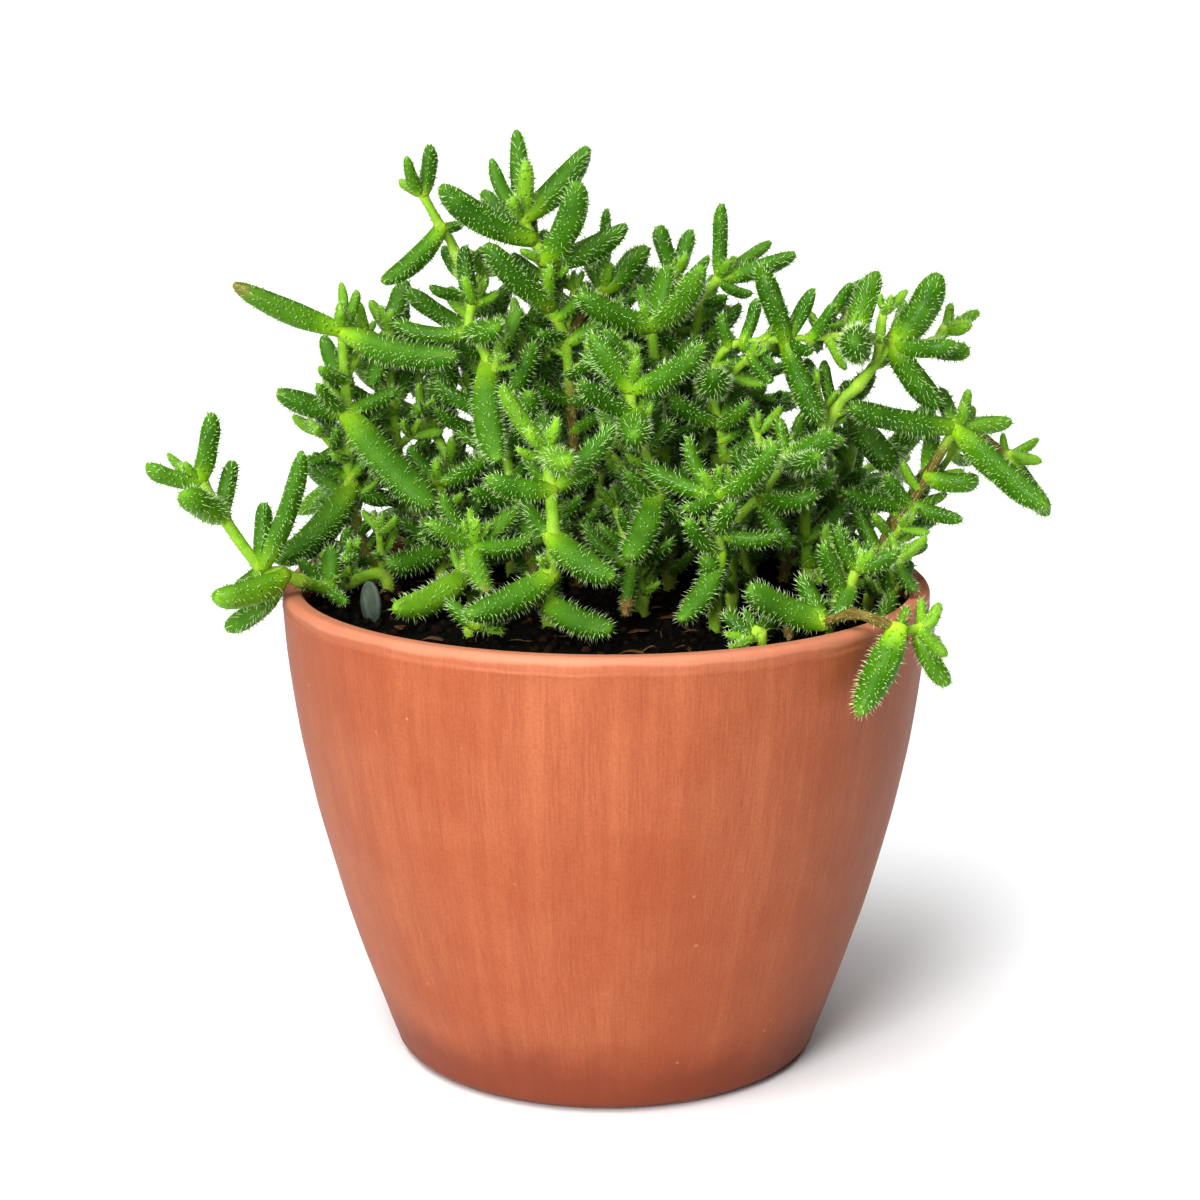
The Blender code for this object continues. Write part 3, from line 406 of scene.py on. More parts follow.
def clay_finish():
    material, tree, shader, place = new_material("brushed_clay")
    axes = add_node(tree, "SeparateXYZ", {0: place})
    flat = add_node(tree, "CombineXYZ", {0: axes.outputs[0], 1: axes.outputs[1]}).outputs[0]
    bearing = add_node(tree, "VectorMath", {0: flat}, operation="NORMALIZE").outputs[0]
    squeezed = math_node(tree, "MULTIPLY", axes.outputs[2], STREAK_SQUEEZE)
    upright = add_node(tree, "CombineXYZ", {2: squeezed}).outputs[0]
    brush = add_node(tree, "VectorMath", {0: bearing, 1: upright}, operation="ADD").outputs[0]
    fine = noise(tree, brush, 170.0, 3.0, 0.6)
    broad = noise(tree, brush, 16.0, 4.0, 0.6)
    blotch = noise(tree, place, 30.0, 5.0, 0.65)
    grain = noise(tree, place, 1900.0, 3.0, 0.6)
    wash = ramp(tree, fine, [(0.3, (144, 80, 51)), (0.7, (159, 93, 62))])
    wash = mix(tree, steps_between(tree, broad, 0.42, 0.7, 0.0, 0.4), wash, screen(174, 109, 75))
    wash = mix(tree, steps_between(tree, blotch, 0.4, 0.66, 0.0, 0.5), wash, screen(142, 70, 38))
    billow = noise(tree, place, 45.0, 4.0, 0.6)
    border = math_node(tree, "MULTIPLY_ADD", billow, BAND_CLOUD * MILLIMETRE, axes.outputs[2])
    band_low, band_high = BAND_TOP * MILLIMETRE, (BAND_TOP + BAND_FADE) * MILLIMETRE
    band = steps_between(tree, border, band_low, band_high, 0.75, 0.0)
    wash = mix(tree, band, wash, screen(114, 53, 33))
    speck = steps_between(tree, cell_distance(tree, place, SPECKS), 0.05, 0.09, 1.0, 0.0)
    speck = math_node(tree, "MULTIPLY", speck, steps_between(tree, blotch, 0.5, 0.6, 0.0, 0.3))
    wash = mix(tree, speck, wash, screen(205, 160, 132))
    wash = mix(tree, steps_between(tree, grain, 0.35, 0.7, 0.0, 0.24), wash, screen(112, 56, 35))
    shaky = noise(tree, place, 90.0, 3.0)
    rise = math_node(tree, "MULTIPLY_ADD", shaky, EDGE_WANDER * MILLIMETRE, axes.outputs[2])
    # The painted highlight is laid over the wash, on the whole lip and more strongly along its crest.
    for start, fade, strength, pale in PALE_EDGES:
        low = POT_HEIGHT - start
        edge = steps_between(tree, rise, low * MILLIMETRE, (low + fade) * MILLIMETRE, 0.0, strength)
        wash = mix(tree, edge, wash, screen(*pale))
    brush_height = bump(tree, fine, 0.00012, 0.35)
    grain_height = bump(tree, grain, 0.0001, 0.4, brush_height)
    set_inputs(
        tree, shader, Base_Color=wash, Normal=grain_height, Specular_IOR_Level=0.22,
        Roughness=steps_between(tree, broad, 0.3, 0.7, 0.46, 0.54),
    )
    return material


clay = clay_finish()
pot_piece = Piece()
pot_piece.add(pot_points, pot_faces)
pot = pot_piece.make("brushed_pot", [clay])
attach(pot, "root")
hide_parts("pot")
print("The clay's material has", len(clay.node_tree.nodes), "nodes")

# %% [markdown]
# ## How the stems grow
#
# Each stem was laid out in the front view: the pixel of every node and of every leaf's tip, and how
# far each lies behind the pot's axis. The helpers below turn a pixel and a depth into a place in space. A
# curve goes smoothly through a stem's nodes, and a leaf hangs a little between its base and its tip. These
# are the same rules and numbers that made the plain model, so the fine stems land exactly on the plain ones.

# %% Sizes of leaves and stems
GAP = 0.3  # between pieces of the plain model that touch on the real plant
HOLE_DEPTH = 10.0  # how deep a stem stands in the soil
SOIL_RELIEF = 0.9
SOIL_WAVES = (9.0, 11.0)  # the lengths that set the soil's rises and dips along X and Y
PEBBLE_AT = (-46.3, -14.5, 95.3)
PEBBLE_SIZE = (2.6, 7.0, 9.4)
PEBBLE_TURN = math.radians(35)
PEBBLE_BALLS = ((0.0, 0.0, -3.0), (0.0, 0.0, 0.0), (0.0, 0.0, 2.0))  # what keeps leaves off the pebble
PEBBLE_BALL = 3.2
CORNER_STAND = 1.12  # how far a plain leaf's corners may stand out past its round thickness
LEAF_NECK = 0.46  # a leaf's width at its base, as a share of its full width
LEAF_FULL = 0.5  # the share of its length where it is full
LEAF_BLUNT = 0.7  # the share where its tip begins to round off
LONGEST_LEAF = 29.0
LEAF_SAG = 0.07  # how far a leaf's middle hangs below the line from base to tip, as a share of that line
ROOT_SINK = 0.8  # how far a leaf's root goes past the stem's axis, as a share of the stem's radius
STEM_SIDES = 4  # of a plain stem
LONG_STRETCH = 24.0  # a plain stem's stretch between nodes gets a middle ring past this length
CLEARANCE = 0.42  # the least space between the rows of balls that stand for leaves and stems
OWN_CLEARANCE = 0.15
OWN_NODE_REACH = 5.0  # leaves of one stem may touch this near to the node that they grow from
BALL_COUNT = 11
LAST_BALL = 0.96  # the share of a leaf's length where its last ball lies
NO_OWNER = -1
ODD_WAY = (0.3, 0.5, 0.8)  # a direction that no stem follows, from which a stem's sides are measured
SOIL_EXIT = 4.0  # how far above the soil a stem's first free point lies
print("The longest leaf may be", LONGEST_LEAF, "mm long")


# %% Places in the view
def unit(vector):
    return vector / max(np.linalg.norm(vector), 1e-9)


def seen_at(px, py, back):
    """The point that the front view shows at a pixel and that lies back mm behind the pot's axis."""
    c, s = math.cos(VIEW_PITCH), math.sin(VIEW_PITCH)
    rise = (PICTURE_MIDDLE - py) / FOCAL_PIXELS
    up = (rise * (VIEW_DISTANCE + back * c) - back * s) / (c + rise * s)
    depth = VIEW_DISTANCE + back * c - up * s
    return np.array([(px - POT_AXIS_PIXEL) * depth / FOCAL_PIXELS, back, VIEW_HEIGHT + up])


def sight(point):
    """The direction in which the front view looks at a point."""
    return unit(point - eye)


def view_depth(point):
    """How far a point lies from the eye of the front view, along the view's middle line."""
    return VIEW_DISTANCE + point[1] * math.cos(VIEW_PITCH) - (point[2] - VIEW_HEIGHT) * math.sin(VIEW_PITCH)


def turned(vector, axis, degrees):
    return np.array(Matrix.Rotation(math.radians(degrees), 3, Vector(axis)) @ Vector(vector))


def sideways(ahead, degrees):
    """A direction square to ahead, turned about it."""
    return turned(unit(np.cross(ahead, ODD_WAY)), ahead, degrees)


print("The picture's middle shows the point", np.round(seen_at(PICTURE_MIDDLE, PICTURE_MIDDLE, 0.0), 1))


# %% The shapes of leaves and stems
def leaf_line(leaf, share):
    """The point at a share of the leaf's length, on a line that hangs a little in the middle."""
    base, tip = leaf["base"], leaf["tip"]
    along = tip - base
    down = np.array([0.0, 0.0, -1.0])
    hang = unit(down - along * np.dot(down, along) / np.dot(along, along))
    sag = LEAF_SAG * np.linalg.norm(along) * np.linalg.norm(unit(along)[:2])
    return base + along * share + hang * sag * 4 * share * (1 - share)


def leaf_radius(share):
    """Half the leaf's thickness over half its width: a narrow neck, a full middle and a blunt tip."""
    neck = LEAF_NECK + (1.0 - LEAF_NECK) * math.sin(math.pi / 2 * min(1.0, share / LEAF_FULL))
    past = max(0.0, (share - LEAF_BLUNT) / (1.0 - LEAF_BLUNT))
    blunt = math.sqrt(max(0.0, 1.0 - past**2))
    return neck * blunt


def corner_factor(sides):
    """How far a polygon's corners stand out where it has about the circle's width."""
    return 2.0 / (1.0 + math.cos(math.pi / sides))


def smooth_route(points, steps):
    """Points on a smooth curve through the given ones, with steps[k] stretches after point k."""
    route = []
    for k in range(len(points) - 1):
        p0, p1 = points[max(k - 1, 0)], points[k]
        p2, p3 = points[k + 1], points[min(k + 2, len(points) - 1)]
        for step in range(steps[k]):
            t = step / steps[k]
            bend = (2 * p0 - 5 * p1 + 4 * p2 - p3) * t**2
            curve = (p2 - p0) * t + bend + (3 * p1 - p0 - 3 * p2 + p3) * t**3
            route.append(p1 + 0.5 * curve)
    route.append(points[-1])
    return route


print("Half way along, a leaf has", round(leaf_radius(0.5), 2), "of its full width")

# %% [markdown]
# ## Keeping the leaves apart
#
# Real leaves push each other aside. Testing the meshes themselves against each other would be slow, so each
# leaf and each stem is tested as a row of balls, which takes one subtraction for all balls at once. A leaf
# that would touch another stem is moved along the line of sight, turned or made shorter, whichever changes
# the front view least.


# %% Rows of balls
class Balls:
    """The balls of all leaves and stems so far, with the stem that each belongs to."""

    def __init__(self):
        self.centres = np.zeros((0, 3))
        self.radii = np.zeros(0)
        self.owners = np.zeros(0, int)

    def add(self, centres, radii, owner):
        self.centres = np.vstack([self.centres, centres])
        self.radii = np.append(self.radii, radii)
        self.owners = np.append(self.owners, np.full(len(radii), owner))

    def clear(self, centres, radii, owner, node=None, space=CLEARANCE):
        """Whether new balls keep clear of other stems and, away from the node, of their own stem."""
        if hits_pot_or_soil(centres, radii):
            return False
        apart = np.linalg.norm(centres[:, None] - self.centres[None], axis=2)
        gaps = apart - radii[:, None] - self.radii[None]
        others = self.owners != owner
        if (gaps[:, others] < space).any():
            return False
        if node is None:
            return True
        own = ~others & (np.linalg.norm(self.centres - node, axis=1) > OWN_NODE_REACH)
        away = np.linalg.norm(centres - node, axis=1) > OWN_NODE_REACH
        return not (gaps[np.ix_(away, own)] < OWN_CLEARANCE).any()


def hits_pot_or_soil(centres, radii):
    for (x, y, z), radius in zip(centres, radii):
        out = math.hypot(x, y)
        reach = radius + CLEARANCE
        inner, outer = wall_radius(z) - WALL, wall_radius(z)
        beside = max(inner - out, out - outer, 0.0)
        if math.hypot(beside, max(z - POT_HEIGHT, 0.0)) < reach:
            return True
        if out < inner and z - reach - SOIL_RELIEF < SOIL_TOP:
            return True
    return False


def leaf_balls(leaf):
    shares = np.linspace(0.0, LAST_BALL, BALL_COUNT)
    centres = np.array([leaf_line(leaf, share) for share in shares])
    radii = np.array([leaf_radius(share) for share in shares])
    return centres, radii * leaf["width"] / 2 * CORNER_STAND


def route_balls(points, radius):
    radius *= corner_factor(STEM_SIDES)
    centres = []
    for a, b in zip(points, points[1:]):
        count = max(1, math.ceil(np.linalg.norm(b - a) / radius))
        centres += [a + (b - a) * k / count for k in range(count)]
    return np.array(centres + [points[-1]]), np.full(len(centres) + 1, radius)


# %% Find room for a leaf
def leaf_tries():
    """Ways to move a leaf clear, the least change first: along the sight line, turned, and shorter."""
    pushes = (0, -3, 3, -6, 6, -9, 9, -12, 12)
    turns = (0, -8, 8, -16, 16, -24, 24)
    sizes = (1.0, 0.9, 0.8, 0.68)

    def change(entry):
        push, turn, size = entry
        return abs(push) + 0.7 * abs(turn) + 50 * (1 - size)

    return sorted(itertools.product(pushes, turns, sizes), key=change)


LEAF_TRIES = leaf_tries()


def grow_leaf(balls, node, tip, width, sink, owner):
    """The leaf from a node to a tip, moved as little as keeps it clear, or None where nothing does."""
    look = sight(tip)
    for push, turn, size in LEAF_TRIES:
        along = turned(tip + look * push - node, look, turn) * size
        if np.linalg.norm(along) > LONGEST_LEAF:
            continue
        leaf = dict(base=node - unit(along) * sink, tip=node + along, width=width * (0.4 + 0.6 * size))
        centres, radii = leaf_balls(leaf)
        if balls.clear(centres[2:], radii[2:], owner, node):
            balls.add(centres, radii, owner)
            return leaf
    return None


print("A leaf has", len(LEAF_TRIES), "ways to find room")


# %% Find room for a stem
def route_tries():
    """Ways to move a stem's point clear, the least change first: along the sight line, and sideways."""
    pushes = (0, 2, -2, 4, -4, 6, -6, 8, -8, 11, -11)
    sides = (0, 3, -3, 6, -6)
    return sorted(itertools.product(pushes, sides), key=lambda move: abs(move[0]) + 2 * abs(move[1]))


ROUTE_TRIES = route_tries()


def stem_steps(points):
    return [2 if np.linalg.norm(b - a) > LONG_STRETCH else 1 for a, b in zip(points, points[1:])]


def grow_route(balls, start, points, radius, owner):
    """A stem's route on from start, each point moved as little as keeps its stretch clear."""
    route = list(start)
    for point in points:
        for push, aside in ROUTE_TRIES:
            moved = point + sight(point) * push + np.array([aside, 0.0, 0.0])
            if balls.clear(*route_balls([route[-1], moved], radius), owner):
                break
        else:
            moved = point
        route.append(moved)
    balls.add(*route_balls(smooth_route(route, stem_steps(route)), radius), owner)
    return route


print("A stem's point has", len(ROUTE_TRIES), "ways to find room")

# %% [markdown]
# ## The stems of the front
#
# Each stem stands in the soil at its root, given as x and y in millimetres. A node is given as (pixel x,
# pixel y, mm behind the pot's axis, leaves), and each of its leaves as (pixel x and y of its tip, how far
# the tip lies behind the node, width in pixels). A branch starts from the node of the main stem that it
# names.

# %% Lay out the stems of the front
STEMS = {
    "stem_high_left": dict(root=(-48, 17), radius=1.2, nodes=[
        (365, 554, 17, []),
        (350, 484, 15, [(275, 560, -19, 35), (392, 500, 2, 20), (331, 461, 0, 10)]),
        (347, 410, 12, [(277, 391, -4, 27), (434, 507, -14, 37), (318, 384, -2, 15), (399, 388, -3, 18)]),
        (342, 328, 10, [(233, 283, -6, 29), (458, 355, -13, 31), (357, 290, 0, 13), (341, 282, 3, 10)]),
    ]),
    "stem_far_left": dict(root=(-45, 7), radius=1.2, nodes=[
        (348, 583, 3, []),
        (327, 588, -5, [(331, 545, 2, 20), (352, 613, -8, 18)]),
        (298, 580, -13, []),
        (281, 573, -15, [(213, 596, -8, 32), (225, 628, 3, 24)]),
        (260, 567, -16, [(263, 502, 3, 22), (287, 432, -4, 26), (236, 592, -6, 19)]),
        (222, 516, -18, [(232, 460, 3, 20), (182, 492, -12, 28)]),
        (200, 478, -18, [(211, 412, 0, 24), (145, 464, -3, 22), (167, 453, 1, 12), (184, 462, -3, 10)]),
    ]),
    "stem_slim_left": dict(root=(-20, 24), radius=1.0, nodes=[
        (494, 430, 22, []),
        (474, 330, 20, [(408, 289, 0, 22)]),
        (455, 252, 17, []),
        (440, 226, 15, [(381, 282, -6, 24), (464, 222, 3, 14)]),
        (422, 193, 14, [(429, 144, 0, 19), (406, 156, -2, 13)]),
    ]),
    "stem_inner_left": dict(root=(-35, 27), radius=1.0, nodes=[
        (405, 480, 25, [(440, 440, 6, 22)]),
        (393, 405, 23, [(414, 352, 3, 20)]),
        (388, 330, 21, [(406, 280, 0, 20), (370, 386, 2, 20), (371, 300, 4, 12)]),
    ]),
    "stem_crown": dict(root=(-6, 14), radius=1.2, nodes=[
        (575, 470, 12, [(545, 500, -4, 22)]),
        (571, 398, 10, [(531, 377, -4, 18), (610, 380, 4, 20)]),
        (565, 340, 8, []),
        (550, 303, 6, [(487, 243, -5, 30), (545, 264, -6, 15)]),
        (543, 258, 5, [(577, 181, -7, 33), (627, 224, 5, 29)]),
        (531, 236, 5, [(440, 185, -6, 32), (483, 190, 9, 19)]),
        (521, 214, 4, [(588, 146, 7, 31), (525, 160, -4, 20), (491, 158, 1, 15), (539, 131, 9, 20)]),
    ], branches=[(2, [
        (588, 306, 15, []),
        (603, 288, 17, [(648, 246, 3, 25), (607, 208, 6, 15), (591, 268, 0, 12)]),
    ])]),
    "stem_centre_right": dict(root=(13, 9), radius=1.2, nodes=[
        (664, 440, 8, [(705, 420, -3, 20)]),
        (656, 380, 7, []),
        (652, 323, 5, [(667, 265, 2, 24), (702, 265, -5, 30), (579, 292, -7, 30), (640, 285, 4, 14)]),
    ]),
    "stem_behind_right": dict(root=(20, 30), radius=1.0, nodes=[
        (684, 400, 28, [(640, 370, 4, 22)]),
        (678, 330, 25, [(735, 315, 3, 20)]),
        (676, 274, 23, [(659, 225, 0, 20), (691, 229, 2, 17)]),
    ]),
    "stem_top_right": dict(root=(30, 20), radius=1.1, nodes=[
        (704, 420, 18, []),
        (694, 350, 17, [(745, 340, 4, 20)]),
        (704, 302, 16, []),
        (720, 277, 15, [(722, 203, 0, 18), (796, 253, 0, 22), (771, 241, 7, 14), (752, 293, -5, 14)]),
    ]),
    "stem_runner": dict(root=(29, 3), radius=1.0, nodes=[
        (718, 420, 0, []),
        (713, 376, -1, [(713, 372, -16, 34)]),
        (730, 346, -1, [(722, 312, 0, 15)]),
        (787, 339, -2, [(761, 264, -3, 27), (821, 422, -8, 28)]),
        (833, 337, 0, []),
        (856, 334, 3, [(854, 340, -15, 37), (877, 271, 6, 28)]),
    ]),
    "stem_right_crown": dict(root=(41, 2), radius=1.2, nodes=[
        (806, 492, -2, []),
        (835, 410, -2, [(872, 370, 4, 22), (824, 360, 4, 14)]),
        (858, 386, -2, []),
        (893, 340, 0, [(940, 273, 0, 32), (955, 333, -3, 20), (958, 391, -8, 31), (905, 300, 6, 14)]),
    ], branches=[(3, [
        (930, 345, 8, [(970, 351, -3, 19)]),
        (946, 328, 10, [(979, 311, 2, 15), (971, 324, -3, 14)]),
    ])]),
    "stem_far_right": dict(root=(49, -1), radius=1.1, nodes=[
        (874, 560, 0, []),
        (893, 524, 0, []),
        (911, 503, 0, [(963, 519, -3, 20), (841, 490, -3, 20), (884, 471, -4, 18), (947, 493, 3, 12)]),
        (928, 474, 0, [(979, 478, -2, 24), (934, 424, 5, 18)]),
        (957, 425, 0, [
            (1012, 420, 0, 22), (942, 388, 3, 18), (969, 389, -2, 13),
            (850, 405, -7, 28), (1022, 529, -6, 33),
        ]),
    ], branches=[(4, [
        (985, 441, 7, []),
        (1008, 455, 9, [(1050, 515, 0, 24), (1039, 438, 2, 12), (1042, 461, -3, 13), (1003, 433, 0, 9)]),
    ])]),
    "stem_dark_right": dict(root=(38, 20), radius=1.1, nodes=[
        (838, 500, 17, [(800, 470, 2, 22)]),
        (858, 424, 14, [(897, 468, -6, 32), (919, 459, 3, 25), (846, 380, 4, 18)]),
    ]),
    "stem_mid_right": dict(root=(25, -10), radius=1.1, nodes=[
        (734, 528, -13, []),
        (760, 496, -12, [(791, 548, -6, 22), (735, 450, 5, 20)]),
        (785, 458, -12, [(833, 432, -4, 28), (780, 418, 2, 16), (801, 414, 6, 14), (820, 474, -5, 18)]),
    ]),
    "stem_front_right": dict(root=(21, -25), radius=1.1, nodes=[
        (718, 572, -25, []),
        (718, 551, -25, [(679, 621, -7, 25)]),
        (719, 529, -24, [(781, 535, -3, 20)]),
        (717, 493, -24, [(773, 463, 2, 20), (684, 507, -6, 20), (688, 436, 2, 18), (719, 466, -3, 11)]),
    ]),
    "stem_front_centre": dict(root=(-11, -24), radius=1.35, nodes=[
        (546, 599, -29, [(614, 643, -12, 29)]),
        (550, 573, -30, [(465, 615, -8, 33)]),
        (553, 535, -32, [(615, 578, -9, 33), (526, 505, 4, 20)]),
        (550, 486, -32, [(486, 477, -4, 27), (613, 425, 5, 26)]),
        (546, 446, -32, [(501, 384, 0, 23), (568, 459, -13, 28), (557, 417, -2, 14), (527, 428, -5, 14)]),
    ]),
    "stem_centre": dict(root=(7, -11), radius=1.25, nodes=[
        (634, 560, -12, [(624, 623, -7, 16)]),
        (655, 492, -14, [(627, 559, -8, 27), (685, 520, 3, 20)]),
        (642, 449, -14, [(672, 420, 4, 18)]),
        (632, 412, -14, [(634, 434, -15, 34)]),
        (630, 386, -14, [(591, 333, -2, 28), (704, 343, -3, 28), (637, 357, -3, 15)]),
    ]),
    "stem_low_light": dict(root=(-27, 2), radius=1.3, nodes=[
        (464, 573, -6, [(400, 618, -20, 30), (512, 533, 8, 18)]),
        (472, 541, -9, [
            (429, 521, -4, 22), (516, 510, 3, 20), (488, 592, -12, 22),
            (478, 519, -3, 15), (470, 508, 3, 9),
        ]),
    ]),
    "stem_left_shade": dict(root=(-34, 12), radius=1.0, nodes=[
        (446, 540, 10, [(386, 563, -8, 27), (405, 520, 5, 20)]),
        (440, 480, 10, [(480, 455, 3, 22), (410, 445, 2, 20)]),
    ]),
    "stem_left_mid": dict(root=(-14, 1), radius=1.1, nodes=[
        (515, 500, 3, [(540, 545, -4, 22)]),
        (499, 410, 5, [(535, 340, 3, 22)]),
        (488, 360, 5, [(498, 461, -9, 28)]),
        (470, 328, 5, [(394, 321, 3, 22), (498, 326, -12, 27)]),
        (473, 300, 5, [(465, 245, 0, 22), (499, 291, 2, 13)]),
    ]),
    "stem_right_low": dict(root=(43, -29), radius=1.0, nodes=[
        (850, 584, -31, [(836, 617, -7, 19)]),
        (856, 567, -31, [(838, 523, 0, 18), (899, 550, -2, 20)]),
    ]),
    "stem_over_rim": dict(root=(35, -35), radius=1.2, nodes=[
        (824, 622, -38, [(748, 587, 5, 29), (801, 574, 6, 24)]),
        (852, 614, -43, []),
        (876, 620, -43.5, []),
        (898, 630, -43, [(858, 715, -7, 37), (907, 606, 3, 13)]),
        (920, 628, -40, [(948, 686, -2, 23), (947, 655, -5, 15), (921, 598, 3, 12), (940, 603, 2, 14)]),
    ]),
    "stem_right_rim": dict(root=(52, -12), radius=1.0, nodes=[
        (893, 590, -14, [(883, 560, 2, 17), (881, 618, -8, 20)]),
        (899, 560, -12, [(926, 536, 0, 12), (915, 590, -6, 17)]),
    ]),
    "stem_low_front": dict(root=(29, -41), radius=1.0, nodes=[
        (752, 636, -41, [(724, 613, 3, 20), (790, 604, 5, 20), (745, 611, 8, 16)]),
    ]),
    "stem_low_left": dict(root=(-26, -33), radius=1.0, nodes=[
        (479, 623, -34, [(511, 643, -5, 20), (449, 600, 4, 20), (486, 597, 5, 14)]),
    ]),
}
print("The front has", len(STEMS), "stems")


# %% Grow the stems of the front
def root_points(x, y):
    """A stem's foot in its hole in the soil, and the point where it leaves the hole."""
    return [np.array([x, y, SOIL_TOP - HOLE_DEPTH + GAP]), np.array([x, y, SOIL_TOP + SOIL_EXIT])]


def front_routes(plan, balls, owner):
    """The routes of a stem of the front view and its branches, and the leaves wanted at their nodes."""
    radius = plan["radius"]
    routes, wanted = [], []
    for start, nodes in [(None, plan["nodes"])] + plan.get("branches", []):
        points = [seen_at(*node[:3]) for node in nodes]
        foot = root_points(*plan["root"]) if start is None else [routes[0][start + 2]]
        route = grow_route(balls, foot, points, radius, owner)
        routes.append(route)
        for k, (_, _, _, leaves) in enumerate(nodes, len(foot)):
            ahead = unit(route[k] - route[k - 1])
            for tip_x, tip_y, behind, pixels in leaves:
                tip = seen_at(tip_x, tip_y, route[k][1] + behind)
                wanted.append((route[k], tip, pixels * view_depth(tip) / FOCAL_PIXELS, ahead))
    return routes, wanted


# %% [markdown]
# ## The stems of the back
#
# The front view doesn't show the back, so a rule fills it: rings of stems about the pot's axis that rise
# first and lean out later, with a pair of leaves at each node, each pair turned a quarter from the one
# below, as this plant grows. The random draws are seeded, so every run grows the same plant.

# %% Lay out the stems of the back
# Each ring: how many, root distance, tip distance, tip height, and the first and last bearing in degrees
BACK_RINGS = [
    (3, 17, 27, 146, 40, 150),
    (4, 34, 52, 132, 42, 156),
    (6, 47, 76, 112, 22, 150),
]
BACK_STEM_RADIUS = 1.1
BACK_BEARING_SPREAD = 6.0  # how far chance moves a back stem's bearing, tip and nodes
BACK_OUT_SPREAD = 5.0
BACK_HEIGHT_SPREAD = 7.0
BACK_SIDE_SPREAD = 2.0
BACK_RISE = 0.75  # exponents: a back stem rises first and leans out later
BACK_LEAN = 1.3
BACK_NODE_STEP = 14.0
BACK_LEAF_LENGTH = (14.0, 21.0)
LEAF_SLIMNESS = 3.4  # length over width
LEAF_ANGLE = (48.0, 68.0)  # between a leaf and its stem, in degrees
CORE_MIDDLE = (2.0, 4.0, 112.0)  # the shaded middle of the plant, an egg-shaped space
CORE_SIZE = (42.0, 34.0, 36.0)
CORE_LEAF_LENGTH = (11.0, 15.0)
CORE_STRETCH = 16.0  # a stretch between nodes gets a pair of its own in the middle past this length
TUFT = (5.4, 2.4, 30.0)  # the pair of young leaves at a tip: length, width, angle from the stem


def back_plans():
    """The routes of the stems of the back, as points from the root up, in rings about the pot's axis."""
    chance = random.Random(SEED)

    def spread(most):
        return chance.uniform(-most, most)

    for count, root_out, tip_out, tip_height, first, last in BACK_RINGS:
        for k in range(count):
            bearing = math.radians(first + (last - first) * (k + 0.5) / count + spread(BACK_BEARING_SPREAD))
            heading = np.array([math.cos(bearing), math.sin(bearing), 0.0])
            out = tip_out + spread(BACK_OUT_SPREAD)
            height = tip_height + spread(BACK_HEIGHT_SPREAD)
            length = math.hypot(out - root_out, height - SOIL_TOP)
            nodes = max(2, round(length / BACK_NODE_STEP))
            points = []
            for node in range(1, nodes + 1):
                share = node / nodes
                sideways = np.array([spread(BACK_SIDE_SPREAD), spread(BACK_SIDE_SPREAD), 0.0])
                start = SOIL_TOP + SOIL_EXIT
                rise = np.array([0.0, 0.0, start + (height - start) * share**BACK_RISE])
                points.append(heading * (root_out + (out - root_out) * share**BACK_LEAN) + rise + sideways)
            yield tuple(heading[:2] * root_out), points


print("The back has", sum(ring[0] for ring in BACK_RINGS), "stems")


# %% Choose leaves by rule
def leaf_pair(node, ahead, turn, lengths, chance):
    """Two leaves on opposite sides of a stem, turned about it."""
    side = sideways(ahead, turn)
    pair = []
    for half in (1, -1):
        lean = math.radians(chance.uniform(*LEAF_ANGLE))
        length = chance.uniform(*lengths)
        tip = node + length * (math.cos(lean) * ahead + half * math.sin(lean) * side)
        pair.append((node, tip, length / LEAF_SLIMNESS, ahead))
    return pair


def crosswise_leaves(route, chance):
    """Pairs of leaves for the nodes of a back stem, each pair a quarter turn from the one below."""
    wanted = []
    turn = chance.uniform(0, 180)
    for k in range(2, len(route)):
        ahead = unit(route[k] - route[k - 1])
        wanted += leaf_pair(route[k], ahead, turn + 90 * k, BACK_LEAF_LENGTH, chance)
    return wanted


def core_leaves(route, chance):
    """Pairs of leaves for the stretches and nodes of a stem that lie in the middle of the plant."""
    wanted = []
    for k in range(2, len(route)):
        ahead = unit(route[k] - route[k - 1])
        spots = [route[k]]
        if np.linalg.norm(route[k] - route[k - 1]) > CORE_STRETCH:
            spots.append((route[k] + route[k - 1]) / 2)
        for spot in spots:
            if np.linalg.norm((spot - CORE_MIDDLE) / CORE_SIZE) < 1.0:
                wanted += leaf_pair(spot, ahead, chance.uniform(0, 180), CORE_LEAF_LENGTH, chance)
    return wanted


def tuft(route, chance):
    """The pair of small young leaves wanted at a stem's top."""
    top, ahead = route[-1], unit(route[-1] - route[-2])
    length, width, angle = TUFT
    side = sideways(ahead, chance.uniform(0, 180))
    lean = math.radians(angle)
    offsets = [math.cos(lean) * ahead + half * math.sin(lean) * side for half in (1, -1)]
    return [(top, top + length * offset, width, ahead) for offset in offsets]


# %% Grow the whole plant
UNPLANNED = 1000  # numbers from here on are for leaves that no plan names


